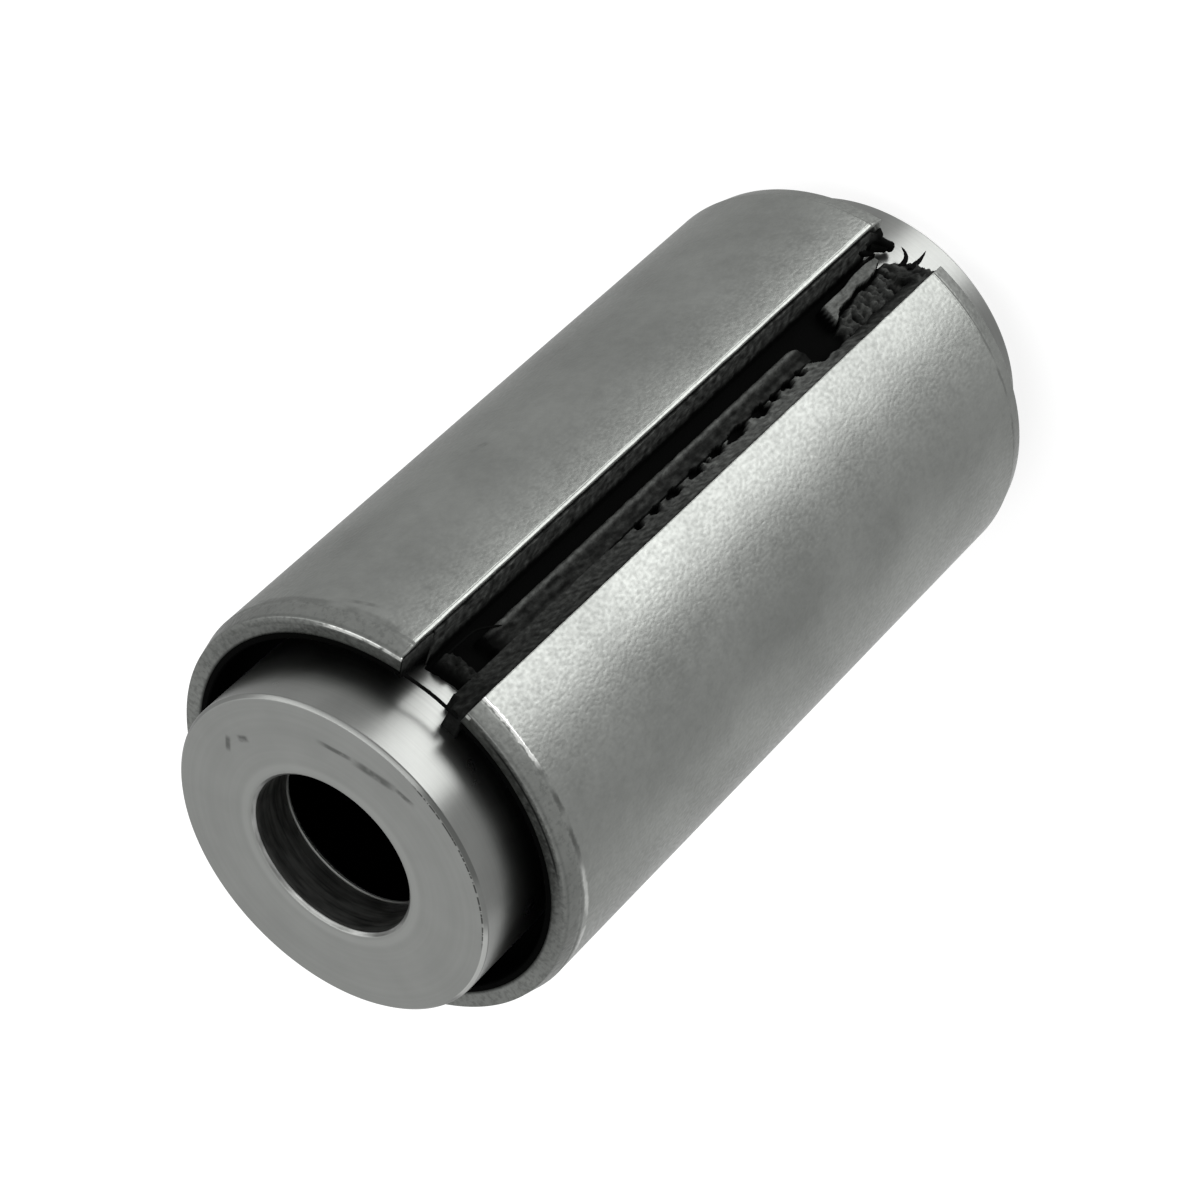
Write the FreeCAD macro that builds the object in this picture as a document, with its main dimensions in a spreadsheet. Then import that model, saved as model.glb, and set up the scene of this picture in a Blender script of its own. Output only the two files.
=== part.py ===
import FreeCAD, Part
import os
import Sketcher

# Bearing bushing: a slotted steel sleeve, a moulded rubber body and a thick steel tube, bonded into one part.
# All lengths are in millimetres. The axis is Z, the tube's lower face is at z = 0 and the slot looks towards -Y.
# Depths along the slot are measured down from the sleeve's upper end.

DIMENSIONS = [
    # Steel sleeve that is pressed into its housing
    ("sleeve_outer_diameter", 60.0),
    ("sleeve_wall", 3.1),
    ("sleeve_length", 109.0),
    ("sleeve_chamfer_length", 2.8),
    ("sleeve_chamfer_depth", 0.7),
    ("slot_width", 10.5),
    ("slot_bevel_width", 0.6),
    ("slot_bevel_depth", 0.35),
    # Steel tube that is clamped by the bolt
    ("tube_overhang", 8.65),
    ("tube_edge_chamfer", 0.5),
    ("tube_wall", 11.8),
    ("bore_chamfer", 0.5),
    ("bore_land_length", 6.7),
    ("bore_relief", 1.2),
    # Rubber between them
    ("rubber_thickness", 3.3),
    ("lip_thickness", 0.8),
    ("end_recess", 6.3),
    # Rubber in the slot
    ("wall_film", 0.35),
    ("wall_film_setback", 0.9),
    ("floor_film", 0.4),
    ("strand_size", 0.45),
    ("land_width", 3.1),
    ("land_height", 1.9),
    ("bead_width", 1.2),
    ("bead_height", 0.5),
    ("upper_dam_length", 2.2),
    ("upper_pocket_length", 4.0),
    ("lower_pocket_length", 8.2),
    ("lower_dam_length", 14.0),
    ("lower_dam_recess", 3.8),
    ("dam_width", 5.7),
    ("dam_height", 2.4),
    ("dam_step", 1.1),
    # Moulding flash along one wall of the slot
    ("flash_reach", 1.5),
    ("flash_upper_reach", 2.5),
    ("flash_upper_length", 38.0),
    ("flash_root_height", 1.6),
    ("flash_tip_height", 2.7),
    ("notch_first_depth", 41.0),
    ("notch_pitch", 3.9),
    ("notch_count", 10),
    ("notch_length", 2.6),
    ("notch_cut", 0.8),
]

# Lengths and radii that follow from the sheet
SLEEVE_RADIUS = "dims.sleeve_outer_diameter / 2"
SLEEVE_BORE = "(dims.sleeve_outer_diameter / 2 - dims.sleeve_wall)"
TUBE_RADIUS = "(dims.sleeve_outer_diameter / 2 - dims.sleeve_wall - dims.rubber_thickness)"
TUBE_LENGTH = "(dims.sleeve_length + 2 * dims.tube_overhang)"
SLEEVE_BOTTOM = "dims.tube_overhang"
SLEEVE_TOP = "(dims.tube_overhang + dims.sleeve_length)"
BORE_RADIUS = f"({TUBE_RADIUS} - dims.tube_wall)"
RELIEF_RADIUS = f"({BORE_RADIUS} + dims.bore_relief)"
LIP_BORE = f"({SLEEVE_BORE} - dims.lip_thickness)"
FLOOR_RADIUS = f"({TUBE_RADIUS} + dims.floor_film)"
SLOT_HALF_ANGLE = "asin(dims.slot_width / dims.sleeve_outer_diameter)"
UPPER_POCKET_DEPTH = "(dims.end_recess + dims.upper_dam_length)"
LAND_DEPTH = f"({UPPER_POCKET_DEPTH} + dims.upper_pocket_length)"
LOWER_DAM_END_DEPTH = "(dims.sleeve_length - dims.lower_dam_recess)"
LAND_END_DEPTH = f"({LOWER_DAM_END_DEPTH} - dims.lower_dam_length - dims.lower_pocket_length)"

doc = FreeCAD.newDocument("bearing_bushing")
sheet = doc.addObject("Spreadsheet::Sheet", "dims")
for row, (alias, value) in enumerate(DIMENSIONS, start=1):
    sheet.set(f"A{row}", alias)
    sheet.set(f"B{row}", str(value))
    sheet.setAlias(f"B{row}", alias)
doc.recompute()


def number(expression):
    """Value of an expression on the sheet's cells."""
    value = sheet.evalExpression(expression)
    return float(getattr(value, "Value", value))


def new_body(label):
    """Empty body whose label names its file."""
    body = doc.addObject("PartDesign::Body", label)
    body.Label = label
    return body


def new_sketch(body, name, plane, offset=None):
    """Sketch on one of the body's own origin planes, moved along the plane's normal by an expression."""
    sketch = body.newObject("Sketcher::SketchObject", name)
    support = next(feature for feature in body.Origin.OriginFeatures if feature.Role == plane)
    sketch.AttachmentSupport = [(support, "")]
    sketch.MapMode = "FlatFace"
    if offset is not None:
        sketch.setExpression("AttachmentOffset.Base.z", offset)
    return sketch


def hold(sketch, kind, edge, end, name, expression):
    """Bind one coordinate of an edge's end to an expression, or lay the point on an axis."""
    if expression == "0":
        axis = -2 if kind == "DistanceX" else -1
        sketch.addConstraint(Sketcher.Constraint("PointOnObject", edge, end, axis))
        return
    index = sketch.addConstraint(Sketcher.Constraint(kind, -1, 1, edge, end, number(expression)))
    sketch.renameConstraint(index, name)
    sketch.setExpression(f"Constraints.{name}", expression)


def arc_through(start, middle, finish):
    """Counter-clockwise arc through three points, and whether it begins at the first of them."""
    bent = Part.Arc(start, middle, finish).toShape().Curve
    forward = (middle - start).cross(finish - middle).z > 0
    first, last = (start, finish) if forward else (finish, start)
    circle = Part.Circle(bent.Center, FreeCAD.Vector(0, 0, 1), bent.Radius)
    return Part.ArcOfCircle(circle, circle.parameter(first), circle.parameter(last)), forward


def draw_profile(sketch, corners, arcs=None):
    """Close a loop through named corners, each held by its two distances from the origin.

    corners is a list of (name, across, up). arcs maps the name of the corner where an arc starts
    to the expressions of the point that the arc is bent through and of its radius.
    """
    arcs = arcs or {}
    points = [FreeCAD.Vector(number(across), number(up), 0) for _, across, up in corners]
    ends = []
    for index, (name, _, _) in enumerate(corners):
        start = points[index]
        finish = points[(index + 1) % len(points)]
        if name in arcs:
            across, up, _ = arcs[name]
            curve, forward = arc_through(start, FreeCAD.Vector(number(across), number(up), 0), finish)
        else:
            curve = Part.LineSegment(start, finish)
            forward = True
        sketch.addGeometry(curve)
        ends.append((1, 2) if forward else (2, 1))
    for index in range(len(corners)):
        after = (index + 1) % len(corners)
        sketch.addConstraint(Sketcher.Constraint("Coincident", index, ends[index][1], after, ends[after][0]))
    for index, (name, across, up) in enumerate(corners):
        hold(sketch, "DistanceX", index, ends[index][0], f"{name}_across", across)
        hold(sketch, "DistanceY", index, ends[index][0], f"{name}_up", up)
        if name in arcs:
            radius = arcs[name][2]
            bend = sketch.addConstraint(Sketcher.Constraint("Radius", index, number(radius)))
            sketch.renameConstraint(bend, f"{name}_radius")
            sketch.setExpression(f"Constraints.{name}_radius", radius)


def revolve(body, name, sketch, angle="360 deg"):
    """Turn a sketch round the Z axis, half of the angle to each side of its plane."""
    turned = body.newObject("PartDesign::Revolution", name)
    turned.Profile = sketch
    turned.ReferenceAxis = (sketch, ["V_Axis"])
    turned.Midplane = True
    turned.setExpression("Angle", angle)
    doc.recompute()
    return turned


def pad(body, name, sketch, length):
    """Raise a sketch along its plane's normal."""
    raised = body.newObject("PartDesign::Pad", name)
    raised.Profile = sketch
    raised.setExpression("Length", length)
    doc.recompute()
    return raised


def pocket(body, name, sketch, length=None, reverse=False):
    """Cut a sketch out of the body, by a length or through everything, and check that it removed something."""
    before = body.Shape.Volume
    cut = body.newObject("PartDesign::Pocket", name)
    cut.Profile = sketch
    cut.Reversed = reverse
    if length is None:
        cut.Type = "ThroughAll"
    else:
        cut.setExpression("Length", length)
    doc.recompute()
    if cut.Shape.Volume >= before:
        raise RuntimeError(f"{name} removes nothing")
    return cut


def up_from_top(depth):
    """Height of a place that lies a depth below the sleeve's upper end."""
    return f"{SLEEVE_TOP} - {depth}"


def on_slot_wall(side, radius, inset):
    """Across and up expressions of a point on a slot wall, moved into the slot by an inset.

    side is 1 for the wall at +X and -1 for the wall at -X.
    """
    across = f"{side} * ({radius} * sin({SLOT_HALF_ANGLE}) - {inset} * cos({SLOT_HALF_ANGLE}))"
    up = f"-({radius} * cos({SLOT_HALF_ANGLE}) + {inset} * sin({SLOT_HALF_ANGLE}))"
    return across, up


# Outer sleeve, rolled from strip: the edges of its slot are radial
sleeve = new_body("outer_sleeve")
sleeve_sketch = new_sketch(sleeve, "sleeve_section", "YZ_Plane")
draw_profile(sleeve_sketch, [
    ("bore_low", SLEEVE_BORE, SLEEVE_BOTTOM),
    ("end_low", f"{SLEEVE_RADIUS} - dims.sleeve_chamfer_depth", SLEEVE_BOTTOM),
    ("side_low", SLEEVE_RADIUS, f"{SLEEVE_BOTTOM} + dims.sleeve_chamfer_length"),
    ("side_high", SLEEVE_RADIUS, f"{SLEEVE_TOP} - dims.sleeve_chamfer_length"),
    ("end_high", f"{SLEEVE_RADIUS} - dims.sleeve_chamfer_depth", SLEEVE_TOP),
    ("bore_high", SLEEVE_BORE, SLEEVE_TOP),
])
revolve(sleeve, "rolled_wall", sleeve_sketch, f"360 deg - 2 * {SLOT_HALF_ANGLE}")

# Bevel along both edges of the slot
bevel_sketch = new_sketch(sleeve, "slot_bevel_section", "XY_Plane")
bevel_foot = f"({SLEEVE_RADIUS} - dims.slot_bevel_depth)"
foot_left = on_slot_wall(1, bevel_foot, "0")
foot_right = on_slot_wall(-1, bevel_foot, "0")
bevel_half = f"({SLEEVE_RADIUS} * sin({SLOT_HALF_ANGLE}) + dims.slot_bevel_width)"
bevel_mouth = f"-{SLEEVE_RADIUS} * cos({SLOT_HALF_ANGLE})"
bevel_outside = f"-({SLEEVE_RADIUS} + dims.sleeve_wall)"
draw_profile(bevel_sketch, [
    ("foot_left", *foot_left),
    ("mouth_left", bevel_half, bevel_mouth),
    ("outside_left", bevel_half, bevel_outside),
    ("outside_right", f"-{bevel_half}", bevel_outside),
    ("mouth_right", f"-{bevel_half}", bevel_mouth),
    ("foot_right", *foot_right),
])
pocket(sleeve, "slot_bevel", bevel_sketch, reverse=True)

# Inner tube: a bore land at each end, relieved between them
tube = new_body("inner_tube")
tube_sketch = new_sketch(tube, "tube_section", "YZ_Plane")
draw_profile(tube_sketch, [
    ("mouth_low", f"{BORE_RADIUS} + dims.bore_chamfer", "0"),
    ("rim_low", f"{TUBE_RADIUS} - dims.tube_edge_chamfer", "0"),
    ("side_low", TUBE_RADIUS, "dims.tube_edge_chamfer"),
    ("side_high", TUBE_RADIUS, f"{TUBE_LENGTH} - dims.tube_edge_chamfer"),
    ("rim_high", f"{TUBE_RADIUS} - dims.tube_edge_chamfer", TUBE_LENGTH),
    ("mouth_high", f"{BORE_RADIUS} + dims.bore_chamfer", TUBE_LENGTH),
    ("land_high", BORE_RADIUS, f"{TUBE_LENGTH} - dims.bore_chamfer"),
    ("step_high", BORE_RADIUS, f"{TUBE_LENGTH} - dims.bore_land_length"),
    ("relief_high", RELIEF_RADIUS, f"{TUBE_LENGTH} - dims.bore_land_length - dims.bore_relief"),
    ("relief_low", RELIEF_RADIUS, "dims.bore_land_length + dims.bore_relief"),
    ("step_low", BORE_RADIUS, "dims.bore_land_length"),
    ("land_low", BORE_RADIUS, "dims.bore_chamfer"),
])
revolve(tube, "turned_tube", tube_sketch)

# Rubber body: a ring bonded to both steels, with a thin lip and a round groove at each end
rubber = new_body("rubber_body")
ring_sketch = new_sketch(rubber, "ring_section", "YZ_Plane")
groove_radius = f"({LIP_BORE} - {TUBE_RADIUS})"
groove_low = f"({SLEEVE_BOTTOM} + dims.end_recess - {groove_radius})"
groove_high = f"({SLEEVE_TOP} - dims.end_recess + {groove_radius})"
groove_middle_across = f"{TUBE_RADIUS} + {groove_radius} * sqrt(0.5)"
draw_profile(ring_sketch, [
    ("lip_out_low", SLEEVE_BORE, SLEEVE_BOTTOM),
    ("lip_out_high", SLEEVE_BORE, SLEEVE_TOP),
    ("lip_in_high", LIP_BORE, SLEEVE_TOP),
    ("groove_start_high", LIP_BORE, groove_high),
    ("groove_end_high", TUBE_RADIUS, f"{SLEEVE_TOP} - dims.end_recess"),
    ("groove_end_low", TUBE_RADIUS, f"{SLEEVE_BOTTOM} + dims.end_recess"),
    ("groove_start_low", LIP_BORE, groove_low),
    ("lip_in_low", LIP_BORE, SLEEVE_BOTTOM),
], arcs={
    "groove_start_high": (groove_middle_across, f"{groove_high} - {groove_radius} * sqrt(0.5)", groove_radius),
    "groove_end_low": (groove_middle_across, f"{groove_low} + {groove_radius} * sqrt(0.5)", groove_radius),
})
revolve(rubber, "bonded_ring", ring_sketch)

# Rubber that fills the slot before its channel is formed
filling_sketch = new_sketch(rubber, "slot_filling_section", "YZ_Plane")
filling_inside = f"-({SLEEVE_BORE} - dims.lip_thickness / 2)"
filling_outside = f"-({SLEEVE_RADIUS} - dims.wall_film_setback)"
draw_profile(filling_sketch, [
    ("inside_low", filling_inside, SLEEVE_BOTTOM),
    ("inside_high", filling_inside, SLEEVE_TOP),
    ("outside_high", filling_outside, SLEEVE_TOP),
    ("outside_low", filling_outside, SLEEVE_BOTTOM),
])
revolve(rubber, "slot_filling", filling_sketch, f"2 * {SLOT_HALF_ANGLE}")

# Channel along the slot: it leaves a film on both walls and on the tube
channel_sketch = new_sketch(rubber, "channel_section", "XY_Plane")
channel_outside = f"{SLEEVE_RADIUS} + dims.sleeve_wall"
draw_profile(channel_sketch, [
    ("floor_left", *on_slot_wall(1, FLOOR_RADIUS, "dims.wall_film")),
    ("outside_left", *on_slot_wall(1, f"({channel_outside})", "dims.wall_film")),
    ("outside_right", *on_slot_wall(-1, f"({channel_outside})", "dims.wall_film")),
    ("floor_right", *on_slot_wall(-1, FLOOR_RADIUS, "dims.wall_film")),
], arcs={
    "floor_right": ("0", f"-{FLOOR_RADIUS}", FLOOR_RADIUS),
})
pocket(rubber, "channel", channel_sketch, reverse=True)

# Foot of everything that stands in the channel, within the film on the tube
FOOT = f"-({TUBE_RADIUS} + dims.floor_film / 2)"

# Land down the middle of the channel, with a round bead along its +X edge
land_sketch = new_sketch(rubber, "land_section", "XY_Plane", up_from_top(LAND_END_DEPTH))
land_half = "dims.land_width / 2"
land_top = f"-({TUBE_RADIUS} + dims.land_height)"
bead_middle = f"{land_half} - dims.bead_width / 2"
bead_top = f"-({TUBE_RADIUS} + dims.land_height + dims.bead_height)"
bead_radius = "(dims.bead_width * dims.bead_width / 8 / dims.bead_height + dims.bead_height / 2)"
draw_profile(land_sketch, [
    ("foot_left", land_half, FOOT),
    ("foot_right", f"-{land_half}", FOOT),
    ("top_right", f"-{land_half}", land_top),
    ("bead_right", f"{land_half} - dims.bead_width", land_top),
    ("bead_left", land_half, land_top),
], arcs={
    "bead_right": (bead_middle, bead_top, bead_radius),
})
pad(rubber, "land", land_sketch, f"{LAND_END_DEPTH} - {LAND_DEPTH}")

# Dam at each end of the channel, lower on its -X side at the lower end
upper_dam_sketch = new_sketch(rubber, "upper_dam_section", "XY_Plane", up_from_top(UPPER_POCKET_DEPTH))
dam_left = "dims.dam_width / 2 + dims.floor_film / 2"
dam_right = "-(dims.dam_width / 2 - dims.floor_film / 2)"
dam_top = f"-({TUBE_RADIUS} + dims.dam_height)"
dam_low_top = f"-({TUBE_RADIUS} + dims.dam_height - dims.dam_step)"
draw_profile(upper_dam_sketch, [
    ("foot_left", dam_left, FOOT),
    ("foot_right", dam_right, FOOT),
    ("top_right", dam_right, dam_top),
    ("top_left", dam_left, dam_top),
])
pad(rubber, "upper_dam", upper_dam_sketch, "dims.upper_dam_length")

lower_dam_sketch = new_sketch(rubber, "lower_dam_section", "XY_Plane", up_from_top(LOWER_DAM_END_DEPTH))
draw_profile(lower_dam_sketch, [
    ("foot_left", dam_left, FOOT),
    ("foot_right", dam_right, FOOT),
    ("low_right", dam_right, dam_low_top),
    ("low_middle", "dims.floor_film / 2", dam_low_top),
    ("top_middle", "dims.floor_film / 2", dam_top),
    ("top_left", dam_left, dam_top),
])
pad(rubber, "lower_dam", lower_dam_sketch, "dims.lower_dam_length")

# Strand of rubber left across the slot at the upper end
strand_sketch = new_sketch(rubber, "strand_section", "YZ_Plane")
strand_outside = f"-{SLEEVE_BORE}"
strand_inside = f"-({SLEEVE_BORE} - dims.strand_size)"
strand_low = f"{SLEEVE_TOP} - dims.strand_size"
draw_profile(strand_sketch, [
    ("outside_low", strand_outside, strand_low),
    ("outside_high", strand_outside, SLEEVE_TOP),
    ("inside_high", strand_inside, SLEEVE_TOP),
    ("inside_low", strand_inside, strand_low),
])
revolve(rubber, "strand", strand_sketch, f"2 * {SLOT_HALF_ANGLE}")


def flash(name, reach, bottom, length):
    """Wedge of flash on the slot's -X wall, rooted in the wall's film."""
    section = new_sketch(rubber, f"{name}_section", "XY_Plane", bottom)
    root_top = f"({SLEEVE_RADIUS} - dims.wall_film_setback - dims.wall_film / 2)"
    root_foot = f"({TUBE_RADIUS} + dims.flash_root_height)"
    tip = f"({TUBE_RADIUS} + dims.flash_tip_height)"
    draw_profile(section, [
        ("root_top", *on_slot_wall(-1, root_top, "dims.wall_film / 2")),
        ("tip", *on_slot_wall(-1, tip, f"(dims.wall_film + {reach})")),
        ("root_foot", *on_slot_wall(-1, root_foot, "dims.wall_film / 2")),
    ])
    pad(rubber, name, section, length)


# Flash: narrow over the whole slot, wider over its upper part
flash("flash", "dims.flash_reach", SLEEVE_BOTTOM, "dims.sleeve_length")
flash("upper_flash", "dims.flash_upper_reach", up_from_top("dims.flash_upper_length"), "dims.flash_upper_length")

# Row of notches torn out of the flash's edge
notch_sketch = new_sketch(rubber, "notch_outline", "XZ_Plane", FLOOR_RADIUS)
flash_tip = f"({TUBE_RADIUS} + dims.flash_tip_height) * sin({SLOT_HALF_ANGLE}) - dims.wall_film - dims.flash_reach"
notch_root = f"-({flash_tip} + dims.notch_cut)"
notch_mouth = f"-{land_half}"
notch_top = up_from_top("dims.notch_first_depth")
notch_bottom = f"{SLEEVE_TOP} - (dims.notch_first_depth + dims.notch_length)"
notch_point = f"{SLEEVE_TOP} - (dims.notch_first_depth + dims.notch_length / 2)"
draw_profile(notch_sketch, [
    ("mouth_high", notch_mouth, notch_top),
    ("mouth_low", notch_mouth, notch_bottom),
    ("point", notch_root, notch_point),
])
notch = pocket(rubber, "flash_notch", notch_sketch, "dims.sleeve_wall + dims.rubber_thickness", reverse=True)
notch_row = rubber.newObject("PartDesign::LinearPattern", "flash_notches")
notch_row.Originals = [notch]
notch_row.Direction = (notch_sketch, ["V_Axis"])
notch_row.Reversed = True
notch_row.setExpression("Length", "dims.notch_pitch * (dims.notch_count - 1)")
notch_row.setExpression("Occurrences", "dims.notch_count")
rubber.Tip = notch_row

# Check every object and write one file for each piece
doc.recompute()
for item in doc.Objects:
    if "Invalid" in item.State or "Error" in item.State:
        raise RuntimeError(f"{item.Name} failed: {item.State}")
os.makedirs("parts", exist_ok=True)
for piece in (sleeve, rubber, tube):
    if piece.Shape.isNull() or not piece.Shape.isValid() or len(piece.Shape.Solids) != 1:
        raise RuntimeError(f"{piece.Label} isn't one valid solid")
    piece.Shape.exportStep(f"parts/{piece.Label}.step")
    print(piece.Label, round(piece.Shape.Volume, 1), piece.Shape.BoundBox)
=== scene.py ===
"""Bearing bushing: a slotted steel sleeve, a moulded rubber body and a turned steel tube.

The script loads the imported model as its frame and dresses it: every piece is a closed mesh in the frame's own
metres. Sizes are written in millimetres, as a drawing has them, and become metres where a mesh is made.
"""

import logging
import math
from dataclasses import dataclass, field
from enum import Enum
from typing import Any, Iterable, Sequence

import bmesh
import bpy
from mathutils import Matrix, Vector, noise


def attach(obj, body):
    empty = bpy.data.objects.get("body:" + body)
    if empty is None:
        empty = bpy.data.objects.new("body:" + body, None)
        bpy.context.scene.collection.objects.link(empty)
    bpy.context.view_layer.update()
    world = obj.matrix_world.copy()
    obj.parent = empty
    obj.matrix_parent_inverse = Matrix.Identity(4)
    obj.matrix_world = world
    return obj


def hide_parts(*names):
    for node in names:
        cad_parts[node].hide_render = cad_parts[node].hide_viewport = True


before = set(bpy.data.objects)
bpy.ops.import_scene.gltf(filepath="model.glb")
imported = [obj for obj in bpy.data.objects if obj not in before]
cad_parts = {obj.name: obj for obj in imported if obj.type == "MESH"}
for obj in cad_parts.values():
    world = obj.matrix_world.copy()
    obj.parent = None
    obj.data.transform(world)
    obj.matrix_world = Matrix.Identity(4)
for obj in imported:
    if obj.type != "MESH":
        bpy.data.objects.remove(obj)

LOG = logging.getLogger("bearing_bushing")
MM = 0.001
ROOT = "root"
SKIN = "skin"
# How far the rubber's outer edges reach into the steels, in millimetres.
HIDDEN = 0.02
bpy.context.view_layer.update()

Point = tuple[float, float, float]
Profile = list[tuple[float, float]]
# Two places between which something rises or falls smoothly.
Fall = tuple[float, float]
# Radius and dust of a place on the rubber.
Skin = tuple[float, float]
# Place across the slot, radius and dust of each point of a section.
Section = list[tuple[float, float, float]]


class Slot(str, Enum):
    """Material slots of the record that the pieces take their finish from."""

    SLEEVE = "sleeve_steel"
    TUBE = "tube_steel"
    RUBBER = "rubber"


class Side(int, Enum):
    """The two walls of the slot, named by the side of the axis that they lie on."""

    PLUS = 1
    MINUS = -1


@dataclass(frozen=True)
class BushingSizes:
    """Sizes that the pieces share, in millimetres. The tube's lower face is at z = 0 and the slot looks to -Y."""

    sleeve_radius: float = 30.0
    sleeve_bore: float = 26.9
    sleeve_length: float = 109.0
    chamfer_length: float = 2.8
    chamfer_depth: float = 0.7
    slot_width: float = 10.5
    tube_radius: float = 23.6
    bore_radius: float = 11.8
    overhang: float = 8.65
    lip_thickness: float = 0.8
    end_recess: float = 6.3

    @property
    def sleeve_bottom(self) -> float:
        """Height of the sleeve's lower end."""
        return self.overhang

    @property
    def sleeve_top(self) -> float:
        """Height of the sleeve's upper end."""
        return self.overhang + self.sleeve_length

    @property
    def tube_length(self) -> float:
        """Length of the tube, which stands out by the same amount at both ends."""
        return self.sleeve_length + 2 * self.overhang

    @property
    def slot_half_angle(self) -> float:
        """Angle between the slot's middle and one of its radial walls."""
        return math.asin(self.slot_width / 2 / self.sleeve_radius)


SIZES = BushingSizes()


def smooth_step(low: float, high: float, value: float) -> float:
    """Smooth rise from 0 at low to 1 at high."""
    share = min(max((value - low) / (high - low), 0.0), 1.0)
    return share * share * (3.0 - 2.0 * share)


def bump_shape(middle: float, half_width: float, value: float) -> float:
    """Smooth hump of height 1 at middle that ends half_width away."""
    share = abs(value - middle) / half_width
    return 0.0 if share >= 1.0 else (1.0 - share * share) ** 2


def course_value(course: Profile, place: float) -> float:
    """Value at a place on a broken line, given by its points' places and values.

    Args:
        course: Place and value of each of the line's points, in order of place.
        place: Where the value is asked for.

    Returns:
        The value, which stays as it is beyond the line's ends.
    """
    for (left, first), (right, last) in zip(course, course[1:]):
        if place <= right:
            return first + (last - first) * min(max((place - left) / (right - left), 0.0), 1.0)
    return course[-1][1]


def wobble(x: float, y: float, z: float, seed: float = 0.0) -> float:
    """Smooth noise between about -1 and 1 at a place, in units of its own grain."""
    return noise.noise(Vector((x + seed, y - 1.7 * seed, z + 0.6 * seed)))


def round_the_axis(radius: float, angle: float, height: float) -> Point:
    """Place at a radius, an angle from -Y towards +X and a height, all in millimetres and radians."""
    return radius * math.sin(angle), -radius * math.cos(angle), height


def opaque(tone: float) -> tuple[float, float, float, float]:
    """Plain grey of a tone, without transparency."""
    return tone, tone, tone, 1.0


def scaled(colour: Point, share: float) -> Point:
    """A colour made lighter or darker by a factor."""
    red, green, blue = colour
    return red * share, green * share, blue * share


def highest(skins: Iterable[Skin]) -> Skin:
    """The skin with the largest radius, and the first of them where several are alike."""
    return max(skins, key=lambda skin: skin[0])


def mesh_object(name: str, points: Sequence[Point], faces: Iterable[Sequence[int]]) -> bpy.types.Object:
    """Make an object from points in millimetres.

    Args:
        name: Name of the object and of its mesh.
        points: Corners, in millimetres.
        faces: Corner numbers of each face.

    Returns:
        The new object, at the origin and unscaled.
    """
    mesh = bpy.data.meshes.new(name)
    mesh.from_pydata([(x * MM, y * MM, z * MM) for x, y, z in points], [], [tuple(face) for face in faces])
    mesh.validate()
    piece = bpy.data.objects.new(name, mesh)
    bpy.context.scene.collection.objects.link(piece)
    return piece


def turn_faces_out(piece: bpy.types.Object, merge: float = 0.0) -> None:
    """Merge doubled corners and point every face outwards.

    Args:
        piece: Object whose mesh is mended.
        merge: Distance in millimetres under which corners become one, or 0 for none.
    """
    work = bmesh.new()
    work.from_mesh(piece.data)
    if merge > 0.0:
        bmesh.ops.remove_doubles(work, verts=work.verts, dist=merge * MM)
    bmesh.ops.recalc_face_normals(work, faces=work.faces)
    work.to_mesh(piece.data)
    work.free()


def shade(piece: bpy.types.Object, sharp_degrees: float) -> None:
    """Shade a piece smooth, with edges sharper than an angle left as creases."""
    piece.data.shade_smooth()
    piece.data.set_sharp_from_angle(angle=math.radians(sharp_degrees))


def dust_map(piece: bpy.types.Object, dust: Sequence[float]) -> None:
    """Store how dusty each corner of a piece is, for its finish to read."""
    skin_map = piece.data.attributes.new(SKIN, "FLOAT", "POINT")
    skin_map.data.foreach_set("value", dust)


def swept_faces(columns: int, ring: int, closed: bool) -> list[list[int]]:
    """Faces of a loop of points that is swept through columns.

    Args:
        columns: How many copies of the loop there are.
        ring: How many points the loop has.
        closed: Whether the last copy joins the first.

    Returns:
        Corner numbers of the quads, and of the two end caps where the sweep is open.
    """
    faces = []
    for column in range(columns if closed else columns - 1):
        here, there = column * ring, (column + 1) % columns * ring
        for index in range(ring):
            after = (index + 1) % ring
            faces.append([here + index, here + after, there + after, there + index])
    if not closed:
        faces.append(list(range(ring))[::-1])
        faces.append([(columns - 1) * ring + index for index in range(ring)])
    return faces


def rounded(corners: Sequence[tuple[float, float, float]], steps: int = 4) -> Profile:
    """Replace each corner of a closed outline by a short arc.

    Args:
        corners: Across, up and rounding radius of each corner. A radius of 0 keeps the corner.
        steps: Number of points along each arc.

    Returns:
        The outline's points, in order.
    """
    outline: Profile = []
    for index, (across, up, radius) in enumerate(corners):
        here = Vector((across, up))
        before = Vector(corners[index - 1][:2]) - here
        after = Vector(corners[(index + 1) % len(corners)][:2]) - here
        if radius <= 0.0:
            outline.append((across, up))
            continue
        start = here + before.normalized() * min(radius, before.length / 2)
        finish = here + after.normalized() * min(radius, after.length / 2)
        for step in range(steps + 1):
            share = step / steps
            place = start * (1 - share) ** 2 + here * 2 * share * (1 - share) + finish * share**2
            outline.append((place.x, place.y))
    return outline


class NodeCanvas:
    """A node tree, of a material, the world or a geometry modifier, that grows by one method."""

    def __init__(self, tree: bpy.types.NodeTree) -> None:
        """Keep the tree."""
        self.tree = tree

    def node(self, kind: str, settings: dict[str, Any] | None = None, inputs: dict[Any, Any] | None = None,
             output: int | str = 0) -> "Value":
        """Add a node.

        Args:
            kind: Type name of the node.
            settings: Attributes that are set first, such as a Math node's operation.
            inputs: Values or links of the node's sockets, by name or number.
            output: Socket whose value is returned.

        Returns:
            The chosen output, ready for more maths.
        """
        made = self.tree.nodes.new(kind)
        for name, setting in (settings or {}).items():
            setattr(made, name, setting)
        for name, given in (inputs or {}).items():
            socket = made.inputs[name]
            if isinstance(given, Value):
                self.tree.links.new(given.socket, socket)
            elif given is not None:
                socket.default_value = given
        return Value(self, made.outputs[output] if len(made.outputs) else None, made)


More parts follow.
